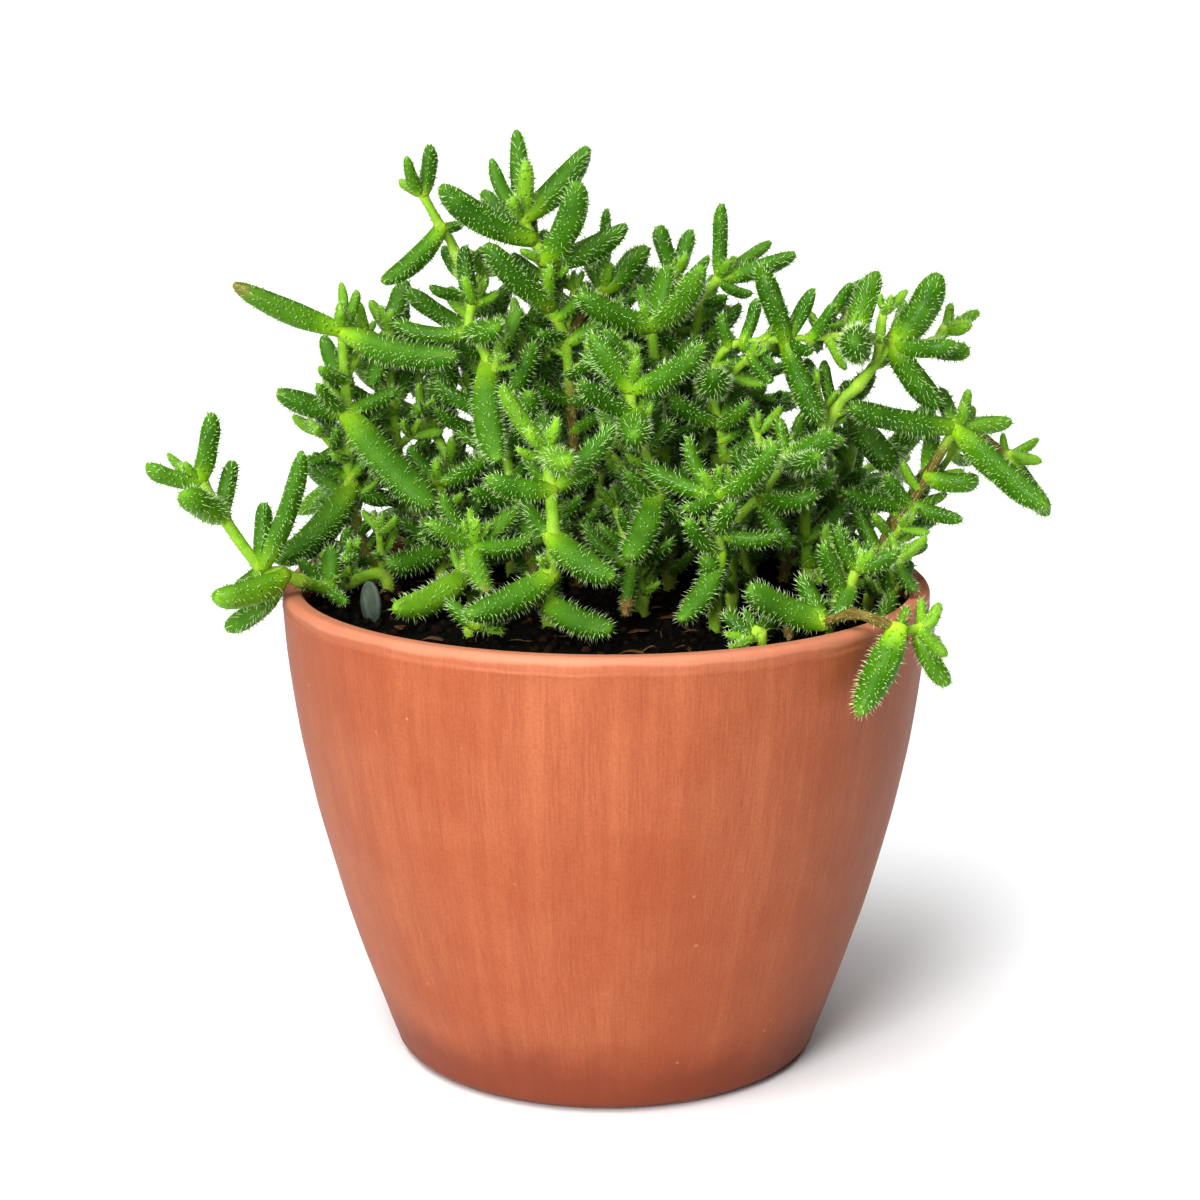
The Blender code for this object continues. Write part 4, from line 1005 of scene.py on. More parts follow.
def grow_plant():
    """All stems with their leaves, each kept clear of the pot, the soil and the stems grown before it."""
    balls = Balls()
    balls.add(np.array(PEBBLE_AT) + np.array(PEBBLE_BALLS), np.full(len(PEBBLE_BALLS), PEBBLE_BALL), NO_OWNER)
    plants = []

    def add_leaves(plant, wanted, first=UNPLANNED):
        for number, (node, tip, width, ahead) in enumerate(wanted, first):
            leaf = grow_leaf(balls, node, tip, width, ROOT_SINK * plant["radius"], plant["owner"])
            if leaf:
                leaf["across"] = ahead
                leaf["number"] = number
                plant["leaves"].append(leaf)

    for name, plan in STEMS.items():
        routes, wanted = front_routes(plan, balls, len(plants))
        plants.append(
            dict(name=name, owner=len(plants), radius=plan["radius"], routes=routes, leaves=[], wanted=wanted)
        )
    for plant in plants:
        add_leaves(plant, plant["wanted"], 0)
    balls.planned = len(balls.radii)
    chance = random.Random(SEED)
    for k, (root, points) in enumerate(back_plans()):
        routes = [grow_route(balls, root_points(*root), points, BACK_STEM_RADIUS, len(plants))]
        name = f"stem_back_{k + 1:02d}"
        plant = dict(name=name, owner=len(plants), radius=BACK_STEM_RADIUS, routes=routes, leaves=[])
        plants.append(plant)
        add_leaves(plant, crosswise_leaves(routes[0], chance))
    for plant in plants:
        for route in plant["routes"]:
            add_leaves(plant, tuft(route, chance))
            add_leaves(plant, core_leaves(route, chance))
    return plants, balls


plants, balls = grow_plant()
print("The plant has", len(plants), "stems and", sum(len(plant["leaves"]) for plant in plants), "leaves")

# %% [markdown]
# ## More small leaves
#
# A healthy pickle plant is denser than its plain model: between the large leaves sit many small ones, which
# hide the stems' feet. They grow in pairs at even steps up every stem, within an egg-shaped space in the
# middle of the bush, each where the balls leave room for it. Small leaves grow in shade, so they are
# allowed closer to their neighbours than the large ones, but none may stand in front of the listed stems
# and leaves. Where a gap is still wide enough, a short side shoot with two pairs of leaves grows into it.

# %% Grow the small leaves
BUSH_MIDDLE = np.array([2.0, 4.0, 112.0])
BUSH_SIZE = np.array([62.0, 54.0, 56.0])
HIDING_SHARE = 0.62  # of two balls' sizes: nearer than this in the view, the nearer one hides the other
HIDING_DEPTH = 3.0
SMALL_STEP = 4.0  # along the stem
SMALL_LENGTHS = (8.0, 13.0)
SMALL_SLIMNESS = 2.9
SMALL_SPACE = 0.02
SMALL_TURNS = (0, 30, -30, 60, -60)
SMALL_SIZES = (1.0, 0.78, 0.6)
FREE_ENDS = (5.0, 3.0)  # the lengths at a stem's foot and top that get none of these
TWIG_STEP = 8.0
TWIG_LENGTHS = (7.0, 12.0)
TWIG_RADIUS = 0.75
TWIG_LEAF_LENGTHS = (5.5, 9.0)
TWIG_ANGLE = (40, 62)  # of a side shoot to its stem, and of its leaves to it, in degrees
TWIG_RISE = 0.16  # how far its tip turns up, as a share of its length
TWIG_TURNS = range(0, 360, 40)


def fine_curve(route, step):
    """A stem's smooth curve with a point about every step mm, and the index of each of its nodes."""
    counts = [max(2, round(np.linalg.norm(b - a) / step)) for a, b in zip(route, route[1:])]
    return np.array(smooth_route(route, counts)), np.cumsum([0] + counts)


def in_the_view(points, radii):
    """Where the front view shows balls: their middles and sizes in its pixels, and how deep they lie."""
    c, s = math.cos(VIEW_PITCH), math.sin(VIEW_PITCH)
    up = points[:, 2] - VIEW_HEIGHT
    depth = VIEW_DISTANCE + points[:, 1] * c - up * s
    pixels = FOCAL_PIXELS / depth
    return np.stack([points[:, 0], up * c + points[:, 1] * s], -1) * pixels[:, None], radii * pixels, depth


planned_places = in_the_view(balls.centres[: balls.planned], balls.radii[: balls.planned])


def hides_planned(centres, radii):
    """Whether balls would stand in front of a leaf or stem from the lists."""
    places, sizes, depths = in_the_view(centres, radii)
    apart = np.linalg.norm(places[:, None] - planned_places[0][None], axis=2)
    touching = apart < HIDING_SHARE * (sizes[:, None] + planned_places[1][None])
    return (touching & (depths[:, None] < planned_places[2][None] - HIDING_DEPTH)).any()


def try_small(plant, node, ahead, side, length, lean):
    """Grow one small leaf at a node of a stem, turned or shortened until it fits."""
    for size, turn in itertools.product(SMALL_SIZES, SMALL_TURNS):
        across = turned(side, ahead, turn)
        along = length * size * (math.cos(lean) * ahead + math.sin(lean) * across)
        width = length * size / SMALL_SLIMNESS
        leaf = dict(base=node - unit(along) * ROOT_SINK * plant["radius"], tip=node + along, width=width)
        centres, radii = leaf_balls(leaf)
        free = balls.clear(centres[2:], radii[2:], plant["owner"], node, SMALL_SPACE)
        if free and not hides_planned(centres[3:], radii[3:]):
            balls.add(centres, radii, plant["owner"])
            leaf["across"] = ahead
            leaf["small"] = True
            leaf["number"] = UNPLANNED
            plant["leaves"].append(leaf)
            return True
    return False


def grow_small(plant, chance):
    grown = 0
    for route in plant["routes"]:
        curve, _ = fine_curve(route, 1.0)
        turn = chance.uniform(0, 180)
        for k in range(round(FREE_ENDS[0] + HOLE_DEPTH), len(curve) - round(FREE_ENDS[1]), round(SMALL_STEP)):
            turn += 90
            node, ahead = curve[k], unit(curve[k + 1] - curve[k - 1])
            if np.linalg.norm((node - BUSH_MIDDLE) / BUSH_SIZE) > 1.0:
                continue
            for half in (0, 180):
                side = sideways(ahead, turn + half)
                lean = math.radians(chance.uniform(*LEAF_ANGLE))
                grown += try_small(plant, node, ahead, side, chance.uniform(*SMALL_LENGTHS), lean)
    return grown


def try_twig(plant, node, ahead, chance):
    """Grow one side shoot with two pairs of leaves, turned about its stem until it fits."""
    length, lean = chance.uniform(*TWIG_LENGTHS), math.radians(chance.uniform(*TWIG_ANGLE))
    first = chance.uniform(0, 360)
    for turn in TWIG_TURNS:
        side = sideways(ahead, first + turn)
        heading = math.cos(lean) * ahead + math.sin(lean) * side
        rise = np.array([0.0, 0.0, TWIG_RISE * length])
        points = [node, node + heading * length * 0.5, node + heading * length + rise]
        centres, radii = route_balls(points, TWIG_RADIUS)
        free = balls.clear(centres[3:], radii[3:], plant["owner"], node, SMALL_SPACE)
        if free and not hides_planned(centres[3:], radii[3:]):
            break
    else:
        return False
    balls.add(centres, radii, plant["owner"])
    plant["twigs"].append(points)
    across = sideways(heading, chance.uniform(0, 180))
    for at, turn in ((points[1], 0), (points[1], 180), (points[2], 90), (points[2], 270)):
        side = turned(across, heading, turn)
        spread = math.radians(chance.uniform(*TWIG_ANGLE))
        try_small(plant, at, heading, side, chance.uniform(*TWIG_LEAF_LENGTHS), spread)
    return True


def grow_twigs(plant, chance):
    grown = 0
    plant["twigs"] = []
    for route in plant["routes"]:
        curve, _ = fine_curve(route, 1.0)
        for k in range(round(FREE_ENDS[0] + HOLE_DEPTH), len(curve) - 2, round(TWIG_STEP)):
            if np.linalg.norm((curve[k] - BUSH_MIDDLE) / BUSH_SIZE) < 1.0:
                grown += try_twig(plant, curve[k], unit(curve[k + 1] - curve[k - 1]), chance)
    return grown


chance = random.Random(SEED)
print("The bush gets", sum(grow_small(plant, chance) for plant in plants), "small leaves")
print("and", sum(grow_twigs(plant, chance) for plant in plants), "side shoots")

# %% [markdown]
# ## The finish of the leaves
#
# A leaf is lime yellow at its base, a deep fresh green along its body and a little paler at its tip. Its
# upper face is flatter and duller, with a grey bloom, and the rounded lower face is set with watery
# pimples that each carry a bristle. The colour comes from the marks that the mesh carries, so that every
# leaf shades from base to tip however it lies. The flesh lets light through, for which the shader has
# subsurface scattering. Old leaves dry out from the tip, which the fourth mark controls.

# %% Grow a leaf's skin
PIMPLES = 900.0  # cells to a metre: one pimple about every 1.1 mm


def leaf_finish():
    material, tree, shader, place = new_material("leaf_skin")
    along, tint = point_mark(tree, "along"), point_mark(tree, "tint")
    upper, dry = point_mark(tree, "upper"), point_mark(tree, "dry")
    cloud = noise(tree, place, 260.0, 3.0)
    fine = noise(tree, place, 1500.0, 2.0)
    body = ramp(tree, along, [
        (0.0, (172, 204, 52)), (0.14, (132, 176, 30)), (0.32, (68, 116, 12)),
        (0.7, (50, 95, 8)), (0.93, (62, 110, 14)), (1.0, (96, 142, 38)),
    ])
    body = mix(tree, steps_between(tree, tint, 0.0, 0.5, 0.75, 0.0), body, screen(34, 72, 5))
    body = mix(tree, steps_between(tree, tint, 0.5, 1.0, 0.0, 0.85), body, screen(140, 186, 44))
    body = mix(tree, steps_between(tree, cloud, 0.4, 0.7, 0.0, 0.4), body, screen(84, 132, 24))
    bloom = math_node(tree, "MULTIPLY", upper, 0.3)
    body = mix(tree, bloom, body, screen(86, 126, 40))
    pimple = steps_between(tree, cell_distance(tree, place, PIMPLES), 0.06, 0.36, 1.0, 0.0)
    lower = math_node(tree, "SUBTRACT", 1.0, math_node(tree, "MULTIPLY", upper, 0.7))
    pimple = math_node(tree, "MULTIPLY", pimple, lower)
    body = mix(tree, math_node(tree, "MULTIPLY", pimple, 0.26), body, screen(182, 210, 110))
    patch = math_node(tree, "ADD", math_node(tree, "MULTIPLY", cloud, 0.5), dry)
    brown = ramp(tree, fine, [(0.3, (88, 56, 28)), (0.7, (160, 126, 78))])
    body = mix(tree, steps_between(tree, patch, 0.72, 0.95), body, brown)
    relief = bump(tree, pimple, 0.00035, 1.0)
    relief = bump(tree, fine, 0.00006, 0.5, relief)
    dull = math_node(tree, "MULTIPLY_ADD", upper, 0.12, 0.3)
    set_inputs(
        tree, shader, Base_Color=body, Normal=relief, Specular_IOR_Level=0.15,
        Roughness=math_node(tree, "MULTIPLY_ADD", cloud, 0.12, dull),
        Subsurface_Weight=0.12, Subsurface_Scale=0.0016, Subsurface_Radius=(0.7, 1.0, 0.2),
    )
    return material


leaf_skin = leaf_finish()
print("The leaf's material has", len(leaf_skin.node_tree.nodes), "nodes")


# %% Finish the stems and bristles
STRING_STRETCH = 0.9  # how fast an old stem's strings change along it, against round it


def stem_finish():
    """Lime when young, brown and stringy when old, by the mark that says how dry each point is."""
    material, tree, shader, place = new_material("stem_skin")
    along, dry = point_mark(tree, "along"), point_mark(tree, "dry")
    around, tint = point_mark(tree, "upper"), point_mark(tree, "tint")
    stretched = math_node(tree, "MULTIPLY", along, STRING_STRETCH)
    lengthwise = add_node(tree, "CombineXYZ", {0: around, 1: stretched}).outputs[0]
    strings = noise(tree, lengthwise, 9.0, 4.0, 0.7)
    cloud = noise(tree, place, 320.0, 3.0)
    green = ramp(tree, cloud, [(0.3, (112, 156, 34)), (0.7, (146, 186, 54))])
    green = mix(tree, math_node(tree, "MULTIPLY", tint, 0.6), green, screen(180, 206, 74))
    wood = ramp(tree, strings, [
        (0.32, (66, 54, 22)), (0.5, (106, 92, 40)), (0.68, (150, 138, 78)),
    ])
    age = math_node(tree, "ADD", dry, math_node(tree, "MULTIPLY_ADD", strings, 0.5, -0.25))
    colour = mix(tree, steps_between(tree, age, 0.3, 0.7), green, wood)
    relief = bump(tree, strings, 0.0002, 0.7)
    set_inputs(
        tree, shader, Base_Color=colour, Normal=relief, Specular_IOR_Level=0.2,
        Roughness=steps_between(tree, dry, 0.2, 0.8, 0.42, 0.75),
        Subsurface_Weight=0.12, Subsurface_Scale=0.001, Subsurface_Radius=(0.7, 1.0, 0.3),
    )
    return material


def bristle_finish():
    """White and silky, with a green foot that grows out of the leaf's pimple."""
    material, tree, shader, _ = new_material("bristle")
    colour = ramp(tree, point_mark(tree, "along"), [
        (0.0, (92, 138, 34)), (0.4, (170, 200, 122)), (1.0, (236, 243, 222)),
    ])
    set_inputs(
        tree, shader, Base_Color=colour, Specular_IOR_Level=0.3, Roughness=0.45,
        Subsurface_Weight=0.2, Subsurface_Scale=0.0005, Subsurface_Radius=(1.0, 1.0, 0.8),
    )
    return material


stem_skin, bristle = stem_finish(), bristle_finish()
LEAF, STEM, BRISTLE = 0, 1, 2
node_counts = [len(material.node_tree.nodes) for material in (stem_skin, bristle)]
print("The materials of stems and bristles have", node_counts, "nodes")

# %% [markdown]
# ## A rounded leaf
#
# A leaf is a tube of rings along its hanging line, rounded off at the tip. Its section is a D on its back:
# the face towards the top of the stem is nearly flat, with a shallow channel along it, and the other is
# round. Each leaf also bends a little its own way. Working out where the rings lie with numpy keeps
# hundreds of leaves quick.

# %% Shape a leaf
FINE_NECK = 0.6
FINE_FULL = 0.42
BLUNT_START = 0.7
TIP_RINGS = 6
TAPER_STARTS = (0.48, 0.74)  # where a leaf begins to narrow: a spindle or a sausage
FACE_FLATNESS = 0.74  # the upper half's thickness, as a share of the lower half's
CHANNEL_DEPTH = 0.14
CHANNEL_WIDTH = 0.42
LEAF_BEND = 0.045  # the most that a leaf's middle bends aside, as a share of its length
WOBBLE = 0.03  # how much a leaf's thickness swells and shrinks along it
SLOPES = (-2.5, 0.6)  # the least and the most slope that the normals follow


def leaf_shares(rings):
    body = np.linspace(0.0, BLUNT_START, rings - TIP_RINGS, endpoint=False)
    tip = BLUNT_START + (1 - BLUNT_START) * np.sin(np.linspace(0, math.pi / 2, TIP_RINGS + 1)[:-1])
    return np.concatenate([body, tip])


def fine_radius(shares, taper):
    """A leaf's radius along its length: a wide neck, a full middle and a tip that narrows from taper on."""
    neck = FINE_NECK + (1 - FINE_NECK) * np.sin(math.pi / 2 * np.clip(shares / FINE_FULL, 0, 1))
    past = np.clip((shares - taper) / (1 - taper), 0, 1)
    return neck * np.sqrt(1 - past**2.2)


def leaf_rings(leaf, rings, sides, chance):
    """A leaf's points as rings, its normals there, each ring's heading, and the marks of its points."""
    shares = leaf_shares(rings)
    length = np.linalg.norm(leaf["tip"] - leaf["base"])
    middle = np.array([leaf_line(leaf, share) for share in shares])
    ahead = rows_unit(np.gradient(middle, axis=0))
    up = rows_unit(leaf["across"] - (ahead @ leaf["across"])[:, None] * ahead)
    side = np.cross(up, ahead)
    bend = (chance.uniform(-1, 1) * side + chance.uniform(-1, 1) * up) * LEAF_BEND * length
    middle = middle + bend * (4 * shares * (1 - shares))[:, None]
    radius = fine_radius(shares, chance.uniform(*TAPER_STARTS)) * leaf["width"] / 2
    angles = np.linspace(0, math.tau, sides, endpoint=False)
    across, lift = np.cos(angles), np.sin(angles)
    top = np.clip(lift, 0, 1)
    channel = CHANNEL_DEPTH * np.exp(-((across / CHANNEL_WIDTH) ** 2)) * top
    lift = np.where(lift > 0, lift * FACE_FLATNESS - channel, lift)
    wobble = 1 + WOBBLE * np.sin(shares * chance.uniform(9, 14) + chance.uniform(0, 6))
    reach = (radius * wobble)[:, None, None]
    points = middle[:, None] + reach * round_about(side, up, across, lift)
    normals = rows_unit(round_about(side, up, across, np.sin(angles)))
    slope = np.gradient(radius) / np.maximum(np.gradient(shares) * length, 1e-3)
    normals = rows_unit(normals - np.clip(slope, *SLOPES)[:, None, None] * ahead[:, None])
    return points, normals, ahead, shares, top


print("A leaf of 16 rings has them at", np.round(leaf_shares(16), 2).tolist())

# %% [markdown]
# ## Bristles
#
# Up close, each bristle is a curved translucent nail on a small pimple. On the large leaves many are
# modelled as just that, with nine triangles each: a wide foot sunk in the skin, a thin shaft, and a point
# that leans towards the leaf's tip. The others, and those of small leaves and stems, are straight hairs of
# three triangles, which look the same from a step away. All bristles of a leaf are worked out in one go.
# They are spread by the golden angle, which keeps neighbours apart without a pattern that the eye can
# follow, and they stand closest along the two edges of the flat face.

# %% Shape bristles
GOLDEN_ANGLE = math.pi * (3 - math.sqrt(5))
NAIL_FOOT = 0.19
NAIL_SHAFT = 0.34  # the shaft's radius as a share of the foot's
NAIL_KNEE = 0.42  # the share of a nail's length where it bends
KNEE_LEAN = 0.3  # how much of its lean it has by there
HAIR_MARKS = [0.0, 0.0, 0.0, 1.0]  # how far along a bristle each of its points lies, for its colour
NAIL_MARKS = [0.0, 0.0, 0.0, 0.45, 0.45, 0.45, 1.0]
HAIR_FOOT = 0.1
FOOT_SINK = 0.06
NAIL_FACES = np.array([
    (0, 1, 4), (0, 4, 3), (1, 2, 5), (1, 5, 4), (2, 0, 3), (2, 3, 5), (3, 4, 6), (4, 5, 6), (5, 3, 6),
])
HAIR_FACES = np.array([(0, 1, 3), (1, 2, 3), (2, 0, 3)])
LEANS = (0.05, 0.6)  # how far a bristle leans towards its heading, from 0 to 1
HEADING_SPREAD = 0.35
INSIDE_BOX = 0.05  # how far bristles stay inside the plain model's box


def add_bristles(piece, roots, normals, headings, lengths, foot, rng, nails=False):
    """Bristles standing along the normals and leaning towards the headings: bent nails or straight hairs."""
    side = rows_unit(np.cross(headings + rng.normal(0, HEADING_SPREAD, headings.shape), normals))
    ahead = np.cross(normals, side)
    lean = rng.uniform(*LEANS, (len(roots), 1))
    lengths = np.asarray(lengths)[:, None]
    tips = roots + lengths * (np.sqrt(1 - lean**2) * normals + lean * ahead)
    inside = ((tips > box_low + INSIDE_BOX) & (tips < box_high - INSIDE_BOX)).all(axis=1)
    turns = np.arange(3) * math.tau / 3
    ring = foot * round_about(side, ahead, np.cos(turns), np.sin(turns))
    layers = [(roots - FOOT_SINK * normals)[:, None] + ring]
    along = NAIL_MARKS if nails else HAIR_MARKS
    if nails:
        knees = roots + NAIL_KNEE * lengths * (normals + KNEE_LEAN * lean * ahead)
        layers.append(knees[:, None] + NAIL_SHAFT * ring)
    points = np.concatenate(layers + [tips[:, None]], axis=1)[inside].reshape(-1, 3)
    starts = np.arange(inside.sum())[:, None, None] * len(along)
    faces = ((NAIL_FACES if nails else HAIR_FACES)[None] + starts).reshape(-1, 3)
    piece.add(points, faces, BRISTLE, np.tile(along, inside.sum()))
    return len(faces)


def surface_spots(points, normals, ahead, rows, turns):
    """Points, normals and headings on a leaf at fractional ring numbers and turns round the leaf."""
    rings, sides = points.shape[:2]
    row = np.clip(rows, 0, rings - 1.001)
    low = row.astype(int)
    share = (row - low)[:, None]
    column = turns / math.tau * sides
    left = np.floor(column).astype(int) % sides
    right = (left + 1) % sides
    slide = (column - np.floor(column))[:, None]

    def blend(grid):
        lower = grid[low, left] * (1 - slide) + grid[low, right] * slide
        higher = grid[low + 1, left] * (1 - slide) + grid[low + 1, right] * slide
        return lower * (1 - share) + higher * share

    return blend(points), rows_unit(blend(normals)), ahead[low]


print("A nail has", len(NAIL_FACES), "triangles and a hair", len(HAIR_FACES))


# %% Spread bristles over a leaf
BARE_BASE = 0.12  # the share of a leaf's length that stays smooth
BRISTLE_DENSITY = 0.85  # bristles to a square millimetre on the round lower face
UPPER_KEEP = 0.5  # the share of them that the flat face keeps
EDGE_STEP = 0.85  # along the edges of the flat face
NAIL_SHARE = 0.42  # of a large leaf's bristles
CROWN_START = 0.8  # the share of the length from which the tip carries a crown of them
CROWN_END = 0.985
CROWN_COUNT = (4, 2.4)  # so many, and so many more for each millimetre of width
EDGE_END = 0.97  # where the edges' rows end
MEAN_WIDTH = 0.85  # of a leaf all along, as a share of its full width
TURN_SPREAD = 0.16  # how far chance moves a bristle round the leaf, in radians, as are the next three
FACE_MARGIN = 0.35  # how far in from its two edges the flat face begins
EDGE_TURN = 0.12
EDGE_TURN_SPREAD = 0.08
EDGE_ROW_SPREAD = 0.12  # in rings


def bristle_spots(leaf, shares, density, rng):
    """Where a leaf's bristles stand, as ring numbers and turns: all over, on the edges and at the tip."""
    length = np.linalg.norm(leaf["tip"] - leaf["base"])
    around = 0.5 * (1 + FACE_FLATNESS) * math.pi * leaf["width"]
    wanted = int(around * length * MEAN_WIDTH * density)
    numbers = np.arange(len(shares))
    radius = np.array([leaf_radius(share) for share in shares])
    area = np.concatenate([[0.0], np.cumsum((radius[1:] + radius[:-1]) * np.diff(shares))])
    order = np.arange(wanted) + rng.uniform(0.2, 0.8, wanted)
    spread = BARE_BASE + (1 - BARE_BASE) * order / max(wanted, 1)
    rows = np.interp(spread * area[-1], area, numbers)
    turns = np.arange(wanted) * GOLDEN_ANGLE + rng.normal(0, TURN_SPREAD, wanted)
    turns = (turns + rng.uniform(0, 6)) % math.tau
    on_top = (turns > FACE_MARGIN) & (turns < math.pi - FACE_MARGIN)
    keep = ~on_top | (rng.random(wanted) < UPPER_KEEP)
    edge = int(length * (1 - BARE_BASE) / EDGE_STEP * min(1.0, density))
    edge_rows = np.tile(np.interp(np.linspace(BARE_BASE, EDGE_END, edge), shares, numbers), 2)
    edge_rows += rng.normal(0, EDGE_ROW_SPREAD, 2 * edge)
    edge_turns = np.repeat([EDGE_TURN, math.pi - EDGE_TURN], edge)
    edge_turns += rng.normal(0, EDGE_TURN_SPREAD, 2 * edge)
    crown = int(CROWN_COUNT[0] + CROWN_COUNT[1] * leaf["width"] * density)
    crown_rows = np.interp(np.linspace(CROWN_START, CROWN_END, crown), shares, numbers)
    rows = np.concatenate([rows[keep], edge_rows, crown_rows])
    turns = np.concatenate([turns[keep], edge_turns, GOLDEN_ANGLE * np.arange(crown)])
    return rows, turns % math.tau


def bristle_leaf(piece, grid, leaf, density, lengths, nail_share, rng):
    points, normals, ahead, shares, _ = grid
    rows, turns = bristle_spots(leaf, shares, density, rng)
    roots, stand, headings = surface_spots(points, normals, ahead, rows, turns)
    sizes = rng.uniform(*lengths, len(rows))
    nails = rng.random(len(rows)) < nail_share
    triangles = 0
    for chosen, foot in ((nails, NAIL_FOOT), (~nails, HAIR_FOOT)):
        if chosen.any():
            picked = (values[chosen] for values in (roots, stand, headings, sizes))
            triangles += add_bristles(piece, *picked, foot, rng, chosen is nails)
    return triangles


print("A leaf's round side gets", BRISTLE_DENSITY, "bristles to a square millimetre")

# %% [markdown]
# ## Whole shoots
#
# A shoot is one stem with its branches, leaves, bristles and the bud at its top, in one object that stands
# in for the plain stem. The stem swells at each node and carries a pale collar there, where the leaves sit.
# Old stems turn brown from the foot up, and a few old leaves dry at their tips. Which stems are old, and
# which leaves are dry, was read off the plant, and so these are named below.

# %% Name what is old, dry, light or dark
STEM_AGE = {  # how brown a stem is, from 0 to 1, and the share of its length where it turns green again
    "stem_far_right": (0.85, 0.93), "stem_high_left": (0.6, 0.55), "stem_crown": (0.85, 0.62),
    "stem_over_rim": (0.95, 0.86), "stem_left_mid": (0.6, 0.5), "stem_inner_left": (0.6, 0.5),
    "stem_dark_right": (0.7, 0.7), "stem_centre_right": (0.5, 0.5), "stem_behind_right": (0.6, 0.6),
}
PLAIN_AGE = (0.45, 0.3)
TINTS = {  # from dark at 0 to light at 1, for the planned leaves in their order
    "stem_high_left": [0.3, 0.4, 0.5, 0.35, 0.5, 0.6, 0.55, 0.62, 0.5, 0.7, 0.8],
    "stem_far_left": [0.5, 0.4, 0.7, 0.55, 0.35, 0.35, 0.6, 0.4, 0.62, 0.45, 0.62, 0.75, 0.8],
    "stem_slim_left": [0.35, 0.35, 0.45, 0.3, 0.65],
    "stem_crown": [0.3, 0.25, 0.3, 0.22, 0.78, 0.42, 0.25, 0.22, 0.45, 0.35, 0.88, 0.5, 0.4, 0.3, 0.5, 0.6],
    "stem_centre_right": [0.3, 0.55, 0.62, 0.35, 0.6],
    "stem_top_right": [0.35, 0.52, 0.45, 0.6, 0.5],
    "stem_runner": [0.18, 0.5, 0.25, 0.25, 0.18, 0.6],
    "stem_right_crown": [0.5, 0.6, 0.35, 0.4, 0.35, 0.6, 0.6, 0.7, 0.75],
    "stem_far_right": [0.5, 0.2, 0.5, 0.65, 0.6, 0.6, 0.68, 0.6, 0.7, 0.25, 0.45, 0.4, 0.7, 0.75, 0.8],
    "stem_dark_right": [0.2, 0.1, 0.2, 0.3],
    "stem_mid_right": [0.5, 0.5, 0.55, 0.65, 0.6, 0.5],
    "stem_front_right": [0.45, 0.5, 0.62, 0.5, 0.6, 0.7],
    "stem_front_centre": [0.3, 0.5, 0.45, 0.4, 0.5, 0.5, 0.72, 0.75, 0.85, 0.9],
    "stem_centre": [0.5, 0.5, 0.3, 0.3, 0.45, 0.58, 0.52, 0.75],
    "stem_low_light": [0.82, 0.5, 0.65, 0.65, 0.7, 0.9, 0.95],
    "stem_over_rim": [0.35, 0.4, 0.55, 0.7, 0.62, 0.7, 0.8, 0.8],
}
DRY_LEAVES = {  # a stem's leaf by its number, and how far it has dried
    ("stem_centre", 0): 0.75, ("stem_low_light", 4): 0.55, ("stem_high_left", 7): 0.6,
    ("stem_left_shade", 0): 0.5, ("stem_high_left", 8): 0.48,
}
SMOOTH_LEAVES = {("stem_low_light", 0): 0.35, ("stem_high_left", 7): 0.6, ("stem_far_left", 2): 0.5}
FLOWER_REMAINS = {  # at which point of a stem's route they stand
    "stem_high_left": 5, "stem_far_right": 6, "stem_crown": 5, "stem_over_rim": 5,
}
STEM_ROUND = 10
STEM_RING_STEP = 1.6
COLLAR = 1.5
SWELLING = 0.3
STOUTNESS = 1.12
STEM_TAPER = 0.22
AGE_FADE = 0.06  # how softly brown turns green, as a share of the stem's length
STRING_LENGTH = 20.0  # along the stem
STEM_HAIRS = 1.0  # to a square millimetre
STEM_HAIR_LENGTHS = (0.6, 1.1)
HAIR_JITTER = 0.8
SLENDER_STEMS = {"stem_over_rim": 0.78, "stem_runner": 0.8}  # the share of the plain stem's thickness
print(len(DRY_LEAVES), "leaves have begun to dry")


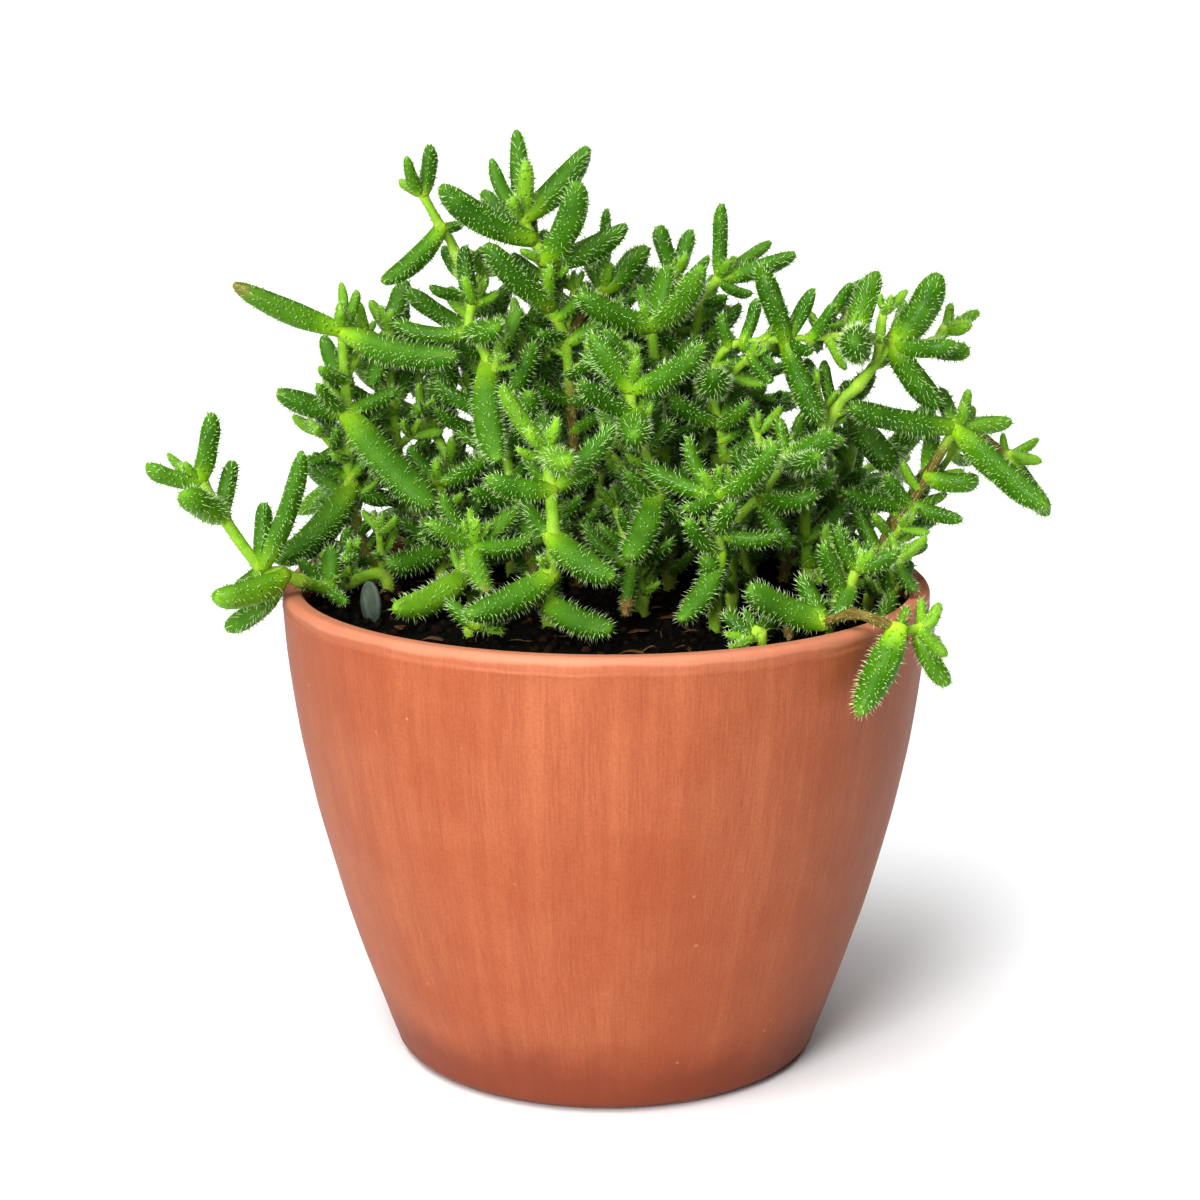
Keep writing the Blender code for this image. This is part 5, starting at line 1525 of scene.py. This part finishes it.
# %% Add a stem's tube
def add_stem(piece, route, thickness, age, rng):
    """A stem's tube, swollen at its nodes and brown up to where it turns green, with its hairs."""
    curve, nodes = fine_curve(route, STEM_RING_STEP)
    ahead = rows_unit(np.gradient(curve, axis=0))
    side = np.zeros_like(curve)
    across = unit(np.cross(ahead[0], ODD_WAY))
    for k, heading in enumerate(ahead):
        across = unit(across - heading * (across @ heading))
        side[k] = across
    other = np.cross(ahead, side)
    walked = np.concatenate([[0.0], np.cumsum(np.linalg.norm(np.diff(curve, axis=0), axis=1))])
    near = np.exp(-((np.abs(walked[:, None] - walked[nodes][None, 1:]) / COLLAR) ** 2)).max(axis=1)
    radius = STOUTNESS * thickness * (1.0 - STEM_TAPER * walked / walked[-1]) * (1 + SWELLING * near)
    angles = np.linspace(0, math.tau, STEM_ROUND, endpoint=False)
    ring = round_about(side, other, np.cos(angles), np.sin(angles))
    points = (curve[:, None] + radius[:, None, None] * ring).reshape(-1, 3)
    brown, green_from = age
    dry = brown / (1 + np.exp((walked / walked[-1] - green_from) / AGE_FADE))
    half_turn = np.abs(1 - 2 * np.arange(STEM_ROUND) / STEM_ROUND)

    def per_point(values):
        return np.concatenate([np.repeat(values, STEM_ROUND), values[[0, -1]]])

    ends = np.stack([curve[0], curve[-1] + ahead[-1] * radius[-1] * 0.5])
    stripes = np.concatenate([np.tile(half_turn, len(curve)), [0.5, 0.5]])
    piece.add(
        np.concatenate([points, ends]), tube_faces(len(curve), STEM_ROUND), STEM,
        along=per_point(walked / STRING_LENGTH), tint=per_point(near), upper=stripes, dry=per_point(dry),
    )
    count = int(walked[-1] * math.tau * thickness * STEM_HAIRS)
    picks, turns = rng.integers(0, len(curve), count), rng.uniform(0, math.tau, count)
    stand = np.cos(turns)[:, None] * side[picks] + np.sin(turns)[:, None] * other[picks]
    moved = ahead[picks] * rng.uniform(-HAIR_JITTER, HAIR_JITTER, (count, 1))
    roots = curve[picks] + radius[picks][:, None] * stand + moved
    lengths = rng.uniform(*STEM_HAIR_LENGTHS, count)
    free = (roots[:, 2] > SOIL_TOP) & (walked[picks] < walked[-1] - HAIR_JITTER)
    picked = (values[free] for values in (roots, stand, ahead[picks], lengths))
    return add_bristles(piece, *picked, HAIR_FOOT, rng)


# %% Add a leaf with its bristles
YOUNG_WIDTH = 3.0
LARGE_WIDTH = 4.6
LEAF_GRIDS = {"small": (11, 8), "middling": (14, 10), "large": (17, 12)}  # rings, and points in each
BRISTLE_LENGTHS = {"young": (0.6, 1.0), "small": (0.7, 1.1), "grown": (0.9, 1.5)}
TIP_TUCK = 0.02  # how far a leaf's last point is drawn in, as a share of its width
DRY_START = 0.45  # the share of its length from which a leaf dries
DRY_REACH = 0.5
DRY_CURVE = 0.6


def add_leaf(piece, leaf, tint, dry, rng, smooth=1.0):
    """A leaf with its bristles, of which smooth is the share that it keeps."""
    young, small = leaf["width"] < YOUNG_WIDTH, leaf.get("small", False)
    grown = "large" if leaf["width"] >= LARGE_WIDTH else "middling"
    rings, sides = LEAF_GRIDS["small" if small or young else grown]
    grid = leaf_rings(leaf, rings, sides, rng)
    points, _, ahead, shares, top = grid
    tip = leaf["tip"] - ahead[-1] * TIP_TUCK * leaf["width"]
    every = np.concatenate([points.reshape(-1, 3), points[0].mean(axis=0)[None], tip[None]])
    along = np.concatenate([np.repeat(shares, sides), [0.0, 1.0]])
    upper = np.concatenate([np.tile(top, rings), [0.0, 0.3]])
    drying = dry * np.clip((along - DRY_START) / DRY_REACH, 0, 1) ** DRY_CURVE
    piece.add(every, tube_faces(rings, sides), LEAF, along, tint, upper, drying)
    lengths = BRISTLE_LENGTHS["young" if young else "small" if small else "grown"]
    nail_share = 0.0 if small or young else NAIL_SHARE
    return bristle_leaf(piece, grid, leaf, BRISTLE_DENSITY * smooth, lengths, nail_share, rng)


print("A large leaf's skin has", len(tube_faces(*LEAF_GRIDS["large"])), "triangles")


# %% Add the bud at a shoot's top
BUD_LEAVES = ((3.6, 1.5, 16.0), (2.4, 1.1, 9.0))  # pairs inside the outer tuft: length, width, angle
BUD_FOOT = 0.3  # how far out from the stem's axis they stand, as a share of its radius
REMAINS = 7
REMAINS_WIDTHS = (0.5, 1.0)
REMAINS_LENGTHS = (1.6, 3.6)


def bud(route, radius, rng):
    """Small leaves in crossed pairs that close over the shoot's top."""
    top, ahead = route[-1], unit(route[-1] - route[-2])
    turn = rng.uniform(0, 180)
    leaves = []
    for length, width, angle in BUD_LEAVES:
        turn += 90
        side = sideways(ahead, turn)
        lean = math.radians(angle)
        for half in (1, -1):
            along = length * (math.cos(lean) * ahead + half * math.sin(lean) * side)
            foot = top + half * side * BUD_FOOT * radius
            leaves.append(dict(base=foot, tip=top + along, width=width, across=ahead))
    return leaves


def flower_remains(node, ahead, rng):
    """What is left of a flower: a few thin dry strips that stand about a node."""
    strips = []
    for _ in range(REMAINS):
        way = unit(ahead * rng.uniform(0.2, 1.0) + rng.normal(0, 0.7, 3))
        width = rng.uniform(*REMAINS_WIDTHS)
        tip = node + way * rng.uniform(*REMAINS_LENGTHS)
        strips.append(dict(base=node, tip=tip, width=width, across=ahead))
    return strips


print("A bud has", 2 * len(BUD_LEAVES), "leaves inside its tuft")


# %% Make every shoot
CHANCE_TINT = (0.42, 0.15)  # the middle and the spread of the tints that no list names
YOUNG_TINT = 0.8
YOUNG_TINT_WIDTH = 2.6  # a leaf narrower than this has it
BUD_TINT = 0.85
REMAINS_TINT = 0.5


def leaf_tint(plant, leaf, rng):
    planned = TINTS.get(plant["name"], [])
    chosen = rng.normal(*CHANCE_TINT)
    if leaf["width"] < YOUNG_TINT_WIDTH:
        chosen = YOUNG_TINT
    if leaf["number"] < len(planned):
        chosen = planned[leaf["number"]]
    return np.clip(chosen, 0.0, 0.95)


def make_shoot(plant, number):
    """One stem with all that grows on it; gives its triangles, in all and of bristles."""
    rng = np.random.default_rng(SEED + number)
    piece = Piece()
    bristles = 0
    main_radius = plant["radius"] * SLENDER_STEMS.get(plant["name"], 1.0)
    main_age = STEM_AGE.get(plant["name"], PLAIN_AGE)
    stems = [(route, main_radius, main_age) for route in plant["routes"]]
    stems += [(twig, TWIG_RADIUS, (0.0, 0.0)) for twig in plant["twigs"]]
    for route, thickness, age in stems:
        bristles += add_stem(piece, route, thickness, age, rng)
        for leaf in bud(route, thickness, rng):
            bristles += add_leaf(piece, leaf, BUD_TINT, 0.0, rng)
    for leaf in plant["leaves"]:
        key = (plant["name"], leaf["number"])
        dry, smooth = DRY_LEAVES.get(key, 0.0), SMOOTH_LEAVES.get(key, 1.0)
        bristles += add_leaf(piece, leaf, leaf_tint(plant, leaf, rng), dry, rng, smooth)
    if plant["name"] in FLOWER_REMAINS:
        route = plant["routes"][0]
        at = FLOWER_REMAINS[plant["name"]]
        for strip in flower_remains(route[at], unit(route[at] - route[at - 1]), rng):
            add_leaf(piece, strip, REMAINS_TINT, 1.0, rng, 0.0)
    shoot = piece.make(plant["name"].replace("stem", "shoot"), [leaf_skin, stem_skin, bristle])
    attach(shoot, "root")
    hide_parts(plant["name"])
    return len(shoot.data.polygons), bristles


shoots = [make_shoot(plant, number) for number, plant in enumerate(plants)]
print("The shoots have", sum(row[0] for row in shoots), "triangles, of which", sum(row[1] for row in shoots))
print("are bristles; the largest shoot has", max(row[0] for row in shoots))

# %% [markdown]
# ## The soil
#
# Potting mix is a heap of crumbs of many sizes, nearly black where damp, with reddish bark and a few brown
# roots and leaf scraps on top. A bump alone would look like cloth, so the surface is a fine wavy disc, and
# thousands of small angular crumbs lie half sunk in it. Each crumb is an icosahedron whose corners are
# shaken, which costs only twenty triangles.

# %% Shape the soil's surface
SOIL_ROUND = 144
SOIL_TOP_RINGS = 40
SOIL_CALM = 9.0  # the width of the level edge at the pot's wall
COARSE_LUMPS = (0.28, 7.0)  # their height and their length
FINE_LUMPS = (0.16, 2.6)
SOIL_PRESS = 0.15  # how far the soil is pressed into the wall at its top


def soil_relief(x, y):
    return SOIL_RELIEF * np.sin(x / SOIL_WAVES[0] + 1.0) * np.cos(y / SOIL_WAVES[1] - 0.5)


def soil_surface(x, y):
    """The soil's height: the plain model's waves with small lumps, level at the pot's wall."""
    flat = np.stack([x, y, np.zeros_like(x)], -1)
    inner = wall_radius(SOIL_TOP) - WALL
    calm = np.clip((inner - np.hypot(x, y)) / SOIL_CALM, 0, 1)
    lumps = COARSE_LUMPS[0] * ripples(flat, COARSE_LUMPS[1], 11)
    lumps += FINE_LUMPS[0] * ripples(flat, FINE_LUMPS[1], 12)
    return SOIL_TOP + calm * soil_relief(x, y) + np.clip(calm, 0.35, 1) * lumps


def soil_block():
    """The whole filling of the pot: a turned block with a fine wavy top."""
    inner = wall_radius(SOIL_TOP) - WALL + SOIL_PRESS
    side = [(wall_radius(z) - WALL - GAP, z) for z in (FLOOR + GAP + 3, 30.0, 60.0)] + [(inner, SOIL_TOP)]
    top = [(radius, SOIL_TOP) for radius in np.linspace(inner, 0.8, SOIL_TOP_RINGS)[1:]]
    profile = np.array([(wall_radius(FLOOR) - WALL - 4.5, FLOOR + GAP)] + side + top)
    points, faces = lathe(profile, SOIL_ROUND)
    high = points[:, 2] > SOIL_TOP - 1
    points[high, 2] = soil_surface(points[high, 0], points[high, 1])
    return points, faces


soil_points, soil_faces = soil_block()
surface = soil_points[soil_points[:, 2] > SOIL_TOP - 2, 2]
print("The soil's surface lies between", round(surface.min(), 1), "and", round(surface.max(), 1))

# %% Scatter the crumbs
CRUMBS = 2600
CRUMB_SIZES = (0.35, 1.5)
GOLD = (1 + math.sqrt(5)) / 2
ICOSAHEDRON = np.array([
    (-1, GOLD, 0), (1, GOLD, 0), (-1, -GOLD, 0), (1, -GOLD, 0), (0, -1, GOLD), (0, 1, GOLD),
    (0, -1, -GOLD), (0, 1, -GOLD), (GOLD, 0, -1), (GOLD, 0, 1), (-GOLD, 0, -1), (-GOLD, 0, 1),
]) / math.sqrt(1 + GOLD**2)
ICOSAHEDRON_FACES = np.array([
    (0, 11, 5), (0, 5, 1), (0, 1, 7), (0, 7, 10), (0, 10, 11), (1, 5, 9), (5, 11, 4),
    (11, 10, 2), (10, 7, 6), (7, 1, 8), (3, 9, 4), (3, 4, 2), (3, 2, 6), (3, 6, 8),
    (3, 8, 9), (4, 9, 5), (2, 4, 11), (6, 2, 10), (8, 6, 7), (9, 8, 1),
])


def add_crumbs(piece, rng):
    """Crumbs spread evenly over the soil, redder towards the rim, where the mix was pressed up."""
    inner = wall_radius(SOIL_TOP) - WALL - 0.4
    out = inner * np.sqrt(rng.random(CRUMBS))
    turn = rng.uniform(0, math.tau, CRUMBS)
    x, y = out * np.cos(turn), out * np.sin(turn)
    size = CRUMB_SIZES[0] + (CRUMB_SIZES[1] - CRUMB_SIZES[0]) * rng.random(CRUMBS) ** 2.2
    size = np.minimum(size, (inner - out) * 0.8 + 0.4)
    middle = np.stack([x, y, soil_surface(x, y) + 0.25 * size], -1)
    shake = rng.uniform(0.62, 1.15, (CRUMBS, 12, 1))
    stretch = rng.uniform(0.6, 1.2, (CRUMBS, 1, 3))
    spin = rng.uniform(0, math.tau, CRUMBS)
    corners = ICOSAHEDRON[None] * shake * stretch * size[:, None, None]
    c, s = np.cos(spin)[:, None], np.sin(spin)[:, None]
    wide, deep = corners[..., 0], corners[..., 1]
    spun = np.stack([c * wide - s * deep, s * wide + c * deep], -1)
    points = middle[:, None] + np.concatenate([spun, corners[..., 2:]], axis=-1)
    faces = (ICOSAHEDRON_FACES[None] + 12 * np.arange(CRUMBS)[:, None, None]).reshape(-1, 3)
    redness = np.clip(rng.normal(0.3, 0.25, CRUMBS) + 0.25 * (out > inner - 4), 0, 1)
    piece.add(points.reshape(-1, 3), faces, 0, tint=np.repeat(redness, 12))


print("There are", CRUMBS, "crumbs of up to", CRUMB_SIZES[1], "mm")

# %% Lay roots and scraps on it
LITTER = 46
LITTER_REACH = 54  # how far from the pot's axis it lies
SCRAP_THICKNESS = 0.16
UPWARDS = np.array([0.0, 0.0, 1.0])


def add_litter(piece, rng):
    """Thin bent roots and flat dry scraps, each a short tube that lies on the soil."""
    for k in range(LITTER):
        flat = k % 3 == 0
        out = LITTER_REACH * math.sqrt(rng.random())
        turn, heading = rng.uniform(0, math.tau), rng.uniform(0, math.tau)
        length = rng.uniform(3, 6) if flat else rng.uniform(4, 13)
        steps = np.linspace(-0.5, 0.5, 9) * length
        bow = rng.uniform(-0.25, 0.25) * length * (1 - (2 * steps / length) ** 2)
        x = out * math.cos(turn) + steps * math.cos(heading) - bow * math.sin(heading)
        y = out * math.sin(turn) + steps * math.sin(heading) + bow * math.cos(heading)
        lift = 0.5 + rng.uniform(0.2, 0.9) * (1 - (2 * steps / length) ** 2)
        middle = np.stack([x, y, soil_surface(x, y) + lift], -1)
        width = rng.uniform(0.7, 1.3) if flat else rng.uniform(0.14, 0.3)
        thick = SCRAP_THICKNESS if flat else width
        taper = np.sqrt(np.clip(1 - (1.9 * steps / length) ** 2, 0.03, 1))
        level = np.array([-math.sin(heading), math.cos(heading), 0.0])
        angles = np.linspace(0, math.tau, 6, endpoint=False)
        ring = width * np.cos(angles)[:, None] * level + thick * np.sin(angles)[:, None] * UPWARDS
        points = middle[:, None] + taper[:, None, None] * ring[None]
        points = np.concatenate([points.reshape(-1, 3), middle[[0, -1]]])
        away = np.hypot(points[:, 0], points[:, 1]).max()
        if away > wall_radius(SOIL_TOP) - WALL - 0.5:
            continue
        piece.add(points, tube_faces(9, 6)[:, ::-1], 0, tint=rng.uniform(0.6, 1.0), upper=1.0)


def earth_finish():
    material, tree, shader, place = new_material("potting_mix")
    redness, litter = point_mark(tree, "tint"), point_mark(tree, "upper")
    fine = noise(tree, place, 1400.0, 4.0, 0.7)
    damp = noise(tree, place, 90.0, 3.0)
    dark = ramp(tree, redness, [
        (0.0, (9, 7, 4)), (0.45, (20, 14, 9)),
        (0.75, (48, 29, 18)), (1.0, (88, 55, 34)),
    ])
    dark = mix(tree, steps_between(tree, damp, 0.35, 0.6, 0.55, 0.0), dark, screen(6, 5, 3))
    dark = mix(tree, steps_between(tree, fine, 0.55, 0.8, 0.0, 0.25), dark, screen(66, 46, 30))
    straw = ramp(tree, fine, [(0.3, (50, 34, 20)), (0.7, (106, 80, 50))])
    colour = mix(tree, litter, dark, straw)
    relief = bump(tree, fine, 0.0003, 0.9)
    set_inputs(
        tree, shader, Base_Color=colour, Normal=relief, Specular_IOR_Level=0.06,
        Roughness=steps_between(tree, damp, 0.35, 0.65, 0.72, 0.95),
    )
    return material


rng = np.random.default_rng(SEED)  # the crumbs and the litter draw from it in turn
soil_piece = Piece()
soil_piece.add(soil_points, soil_faces)
add_crumbs(soil_piece, rng)
add_litter(soil_piece, rng)
soil = soil_piece.make("potting_mix", [earth_finish()])
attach(soil, "root")
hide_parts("soil")
print("The soil has", len(soil.data.polygons), "triangles")

# %% [markdown]
# ## The pebble
#
# A smooth grey stone stands on edge in the soil at the left. An icosphere, squashed to the stone's three
# sizes and gently rippled, gives it. Blender makes icospheres with even triangles, so it has no poles that
# would catch the light.

# %% Shape and finish the pebble
import bmesh

PEBBLE_RIPPLE = 0.03
RIPPLE_LENGTH = 0.9  # on a ball of diameter 1
RIPPLE_DROP = 1.2  # so that the stone doesn't swell


def pebble_finish():
    material, tree, shader, place = new_material("grey_stone")
    cloud = noise(tree, place, 300.0, 4.0, 0.6)
    grain = noise(tree, place, 2600.0, 3.0, 0.6)
    colour = ramp(tree, cloud, [
        (0.3, (56, 68, 58)), (0.55, (80, 92, 80)), (0.8, (112, 122, 108)),
    ])
    colour = mix(tree, steps_between(tree, grain, 0.55, 0.75, 0.0, 0.4), colour, screen(60, 66, 70))
    set_inputs(
        tree, shader, Base_Color=colour, Normal=bump(tree, grain, 0.0001, 0.4),
        Specular_IOR_Level=0.3, Roughness=steps_between(tree, cloud, 0.3, 0.7, 0.5, 0.66),
    )
    return material


def make_pebble():
    bm = bmesh.new()
    bmesh.ops.create_icosphere(bm, subdivisions=4, radius=0.5)
    bmesh.ops.triangulate(bm, faces=bm.faces)
    points = np.array([vertex.co for vertex in bm.verts])
    faces = np.array([[vertex.index for vertex in face.verts] for face in bm.faces])
    bm.free()
    points *= (1 + PEBBLE_RIPPLE * (ripples(points, RIPPLE_LENGTH, 21) - RIPPLE_DROP))[:, None]
    turn = np.array(Matrix.Rotation(PEBBLE_TURN, 3, "Z"))
    piece = Piece()
    piece.add((points * PEBBLE_SIZE) @ turn.T + PEBBLE_AT, faces)
    return piece.make("grey_pebble", [pebble_finish()])


pebble = make_pebble()
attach(pebble, "root")
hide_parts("pebble")
print("The pebble has", len(pebble.data.polygons), "triangles")

# %% [markdown]
# ## Light and floor
#
# The plant stands on a white sweep that the light burns out, so only the soft shadow beside the pot shows.
# Lamps of Blender's Sun kind light the whole sweep evenly, and a wide angle makes their shadows as soft as
# a large cloth screen's would be. The key light at the upper left front models the pot and the leaves, a
# low light from the left reaches in under them, and the top light brightens what faces up. A small panel
# in front adds a faint sheen to the clay. The room lights dimly, or it would wash the shadows out, but
# looks as white as the floor. Blender's Standard view keeps the whites white, where its default would
# grey them, and a little contrast deepens the greens.

# %% Light the scene
def add_lamp(name, kind, energy):
    lamp = bpy.data.lights.new(name, kind)
    lamp.energy = energy
    thing = bpy.data.objects.new(name, lamp)
    bpy.context.scene.collection.objects.link(thing)
    return thing


def add_sun(name, bearing, elevation, strength, angle, colour=(1.0, 1.0, 1.0)):
    """A far lamp, its bearing in degrees from the front towards the right."""
    thing = add_lamp(name, "SUN", strength)
    thing.data.angle = math.radians(angle)
    thing.data.color = colour
    thing.rotation_euler = (math.radians(90 - elevation), 0.0, math.radians(bearing))


def add_panel(name, place, target, size, power):
    """A square lamp of size metres that looks from place at target, both in metres."""
    thing = add_lamp(name, "AREA", power)
    thing.data.size = size
    thing.location = place
    thing.rotation_euler = (Vector(place) - Vector(target)).to_track_quat("Z", "Y").to_euler()


add_sun("key_light", -48, 64, 1.6, 40, (1.0, 0.99, 0.975))
add_sun("front_light", -29, 17, 2.7, 24)
add_sun("top_light", 0, 84, 2.4, 70)
add_panel("front_panel", (-0.06, -0.30, 0.22), (0.0, -0.06, 0.10), 0.12, 0.6)


# %% Paint the room white
HAZE_TOP = 0.2  # the sine of the elevation where the pale haze near the horizon ends
HAZE = 0.06  # how bright it is
CEILING = 0.02  # how bright the room is above it
ROOM_COLOUR = (0.86, 0.94, 1.0, 1.0)
BACKDROP = 1.25  # how bright the room itself looks, which is white like the floor
HAZE_FADE = 0.05
CONTRAST = 0.85  # the view's gamma: below 1 the dark parts grow a little darker and richer


def white_room():
    """A world that lights with a pale haze near the horizon and dimly above, but looks all white."""
    world = bpy.data.worlds.new("white_room")
    world.use_nodes = True
    tree = world.node_tree
    heading = add_node(tree, "TexCoord", {}).outputs["Generated"]
    rise = add_node(tree, "SeparateXYZ", {0: heading}).outputs[2]
    brightness = steps_between(tree, rise, HAZE_TOP, HAZE_TOP + HAZE_FADE, HAZE, CEILING)
    seen = add_node(tree, "LightPath", {}).outputs["Is Camera Ray"]
    brightness = math_node(tree, "ADD", brightness, math_node(tree, "MULTIPLY", seen, BACKDROP))
    tree.links.new(brightness, tree.nodes["Background"].inputs["Strength"])
    tree.nodes["Background"].inputs["Color"].default_value = ROOM_COLOUR
    return world


bpy.context.scene.world = white_room()
bpy.context.scene.view_settings.view_transform = "Standard"
bpy.context.scene.view_settings.gamma = CONTRAST
print("The room is", HAZE, "bright near the horizon and", CEILING, "above")


# %% Lay the floor
FLOOR_REACH = 60.0  # in metres, each way from the pot


def make_floor():
    bm = bmesh.new()
    bmesh.ops.create_grid(bm, x_segments=1, y_segments=1, size=FLOOR_REACH)
    mesh = bpy.data.meshes.new("floor")
    bm.to_mesh(mesh)
    bm.free()
    material, tree, shader, place = new_material("white_sweep")
    cloud = noise(tree, place, 3.0, 2.0)
    tone = ramp(tree, cloud, [(0.3, (241, 242, 243)), (0.7, (244, 245, 246))])
    set_inputs(tree, shader, Base_Color=tone, Roughness=0.9, Specular_IOR_Level=0.2)
    mesh.materials.append(material)
    floor = bpy.data.objects.new("floor", mesh)
    bpy.context.scene.collection.objects.link(floor)
    floor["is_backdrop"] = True
    return floor


floor = make_floor()
print("The floor is", round(floor.dimensions.x), "m wide")

# %% [markdown]
# ## Check the size
#
# The dressed plant has to stay as large as the plain model, because the plain model is what other objects
# bump into. The differences between the two boxes' corners are printed.

# %% Compare the boxes and finish
bpy.context.view_layer.update()
dressed_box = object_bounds()
boxes = {"cad": [list(corner) for corner in cad_box], "visual": [list(corner) for corner in dressed_box]}
growth = [[round(1000 * (b - a), 2) for a, b in zip(*pair)] for pair in zip(boxes["cad"], boxes["visual"])]
print("The dressed box's lowest and highest corners differ by", growth, "mm")
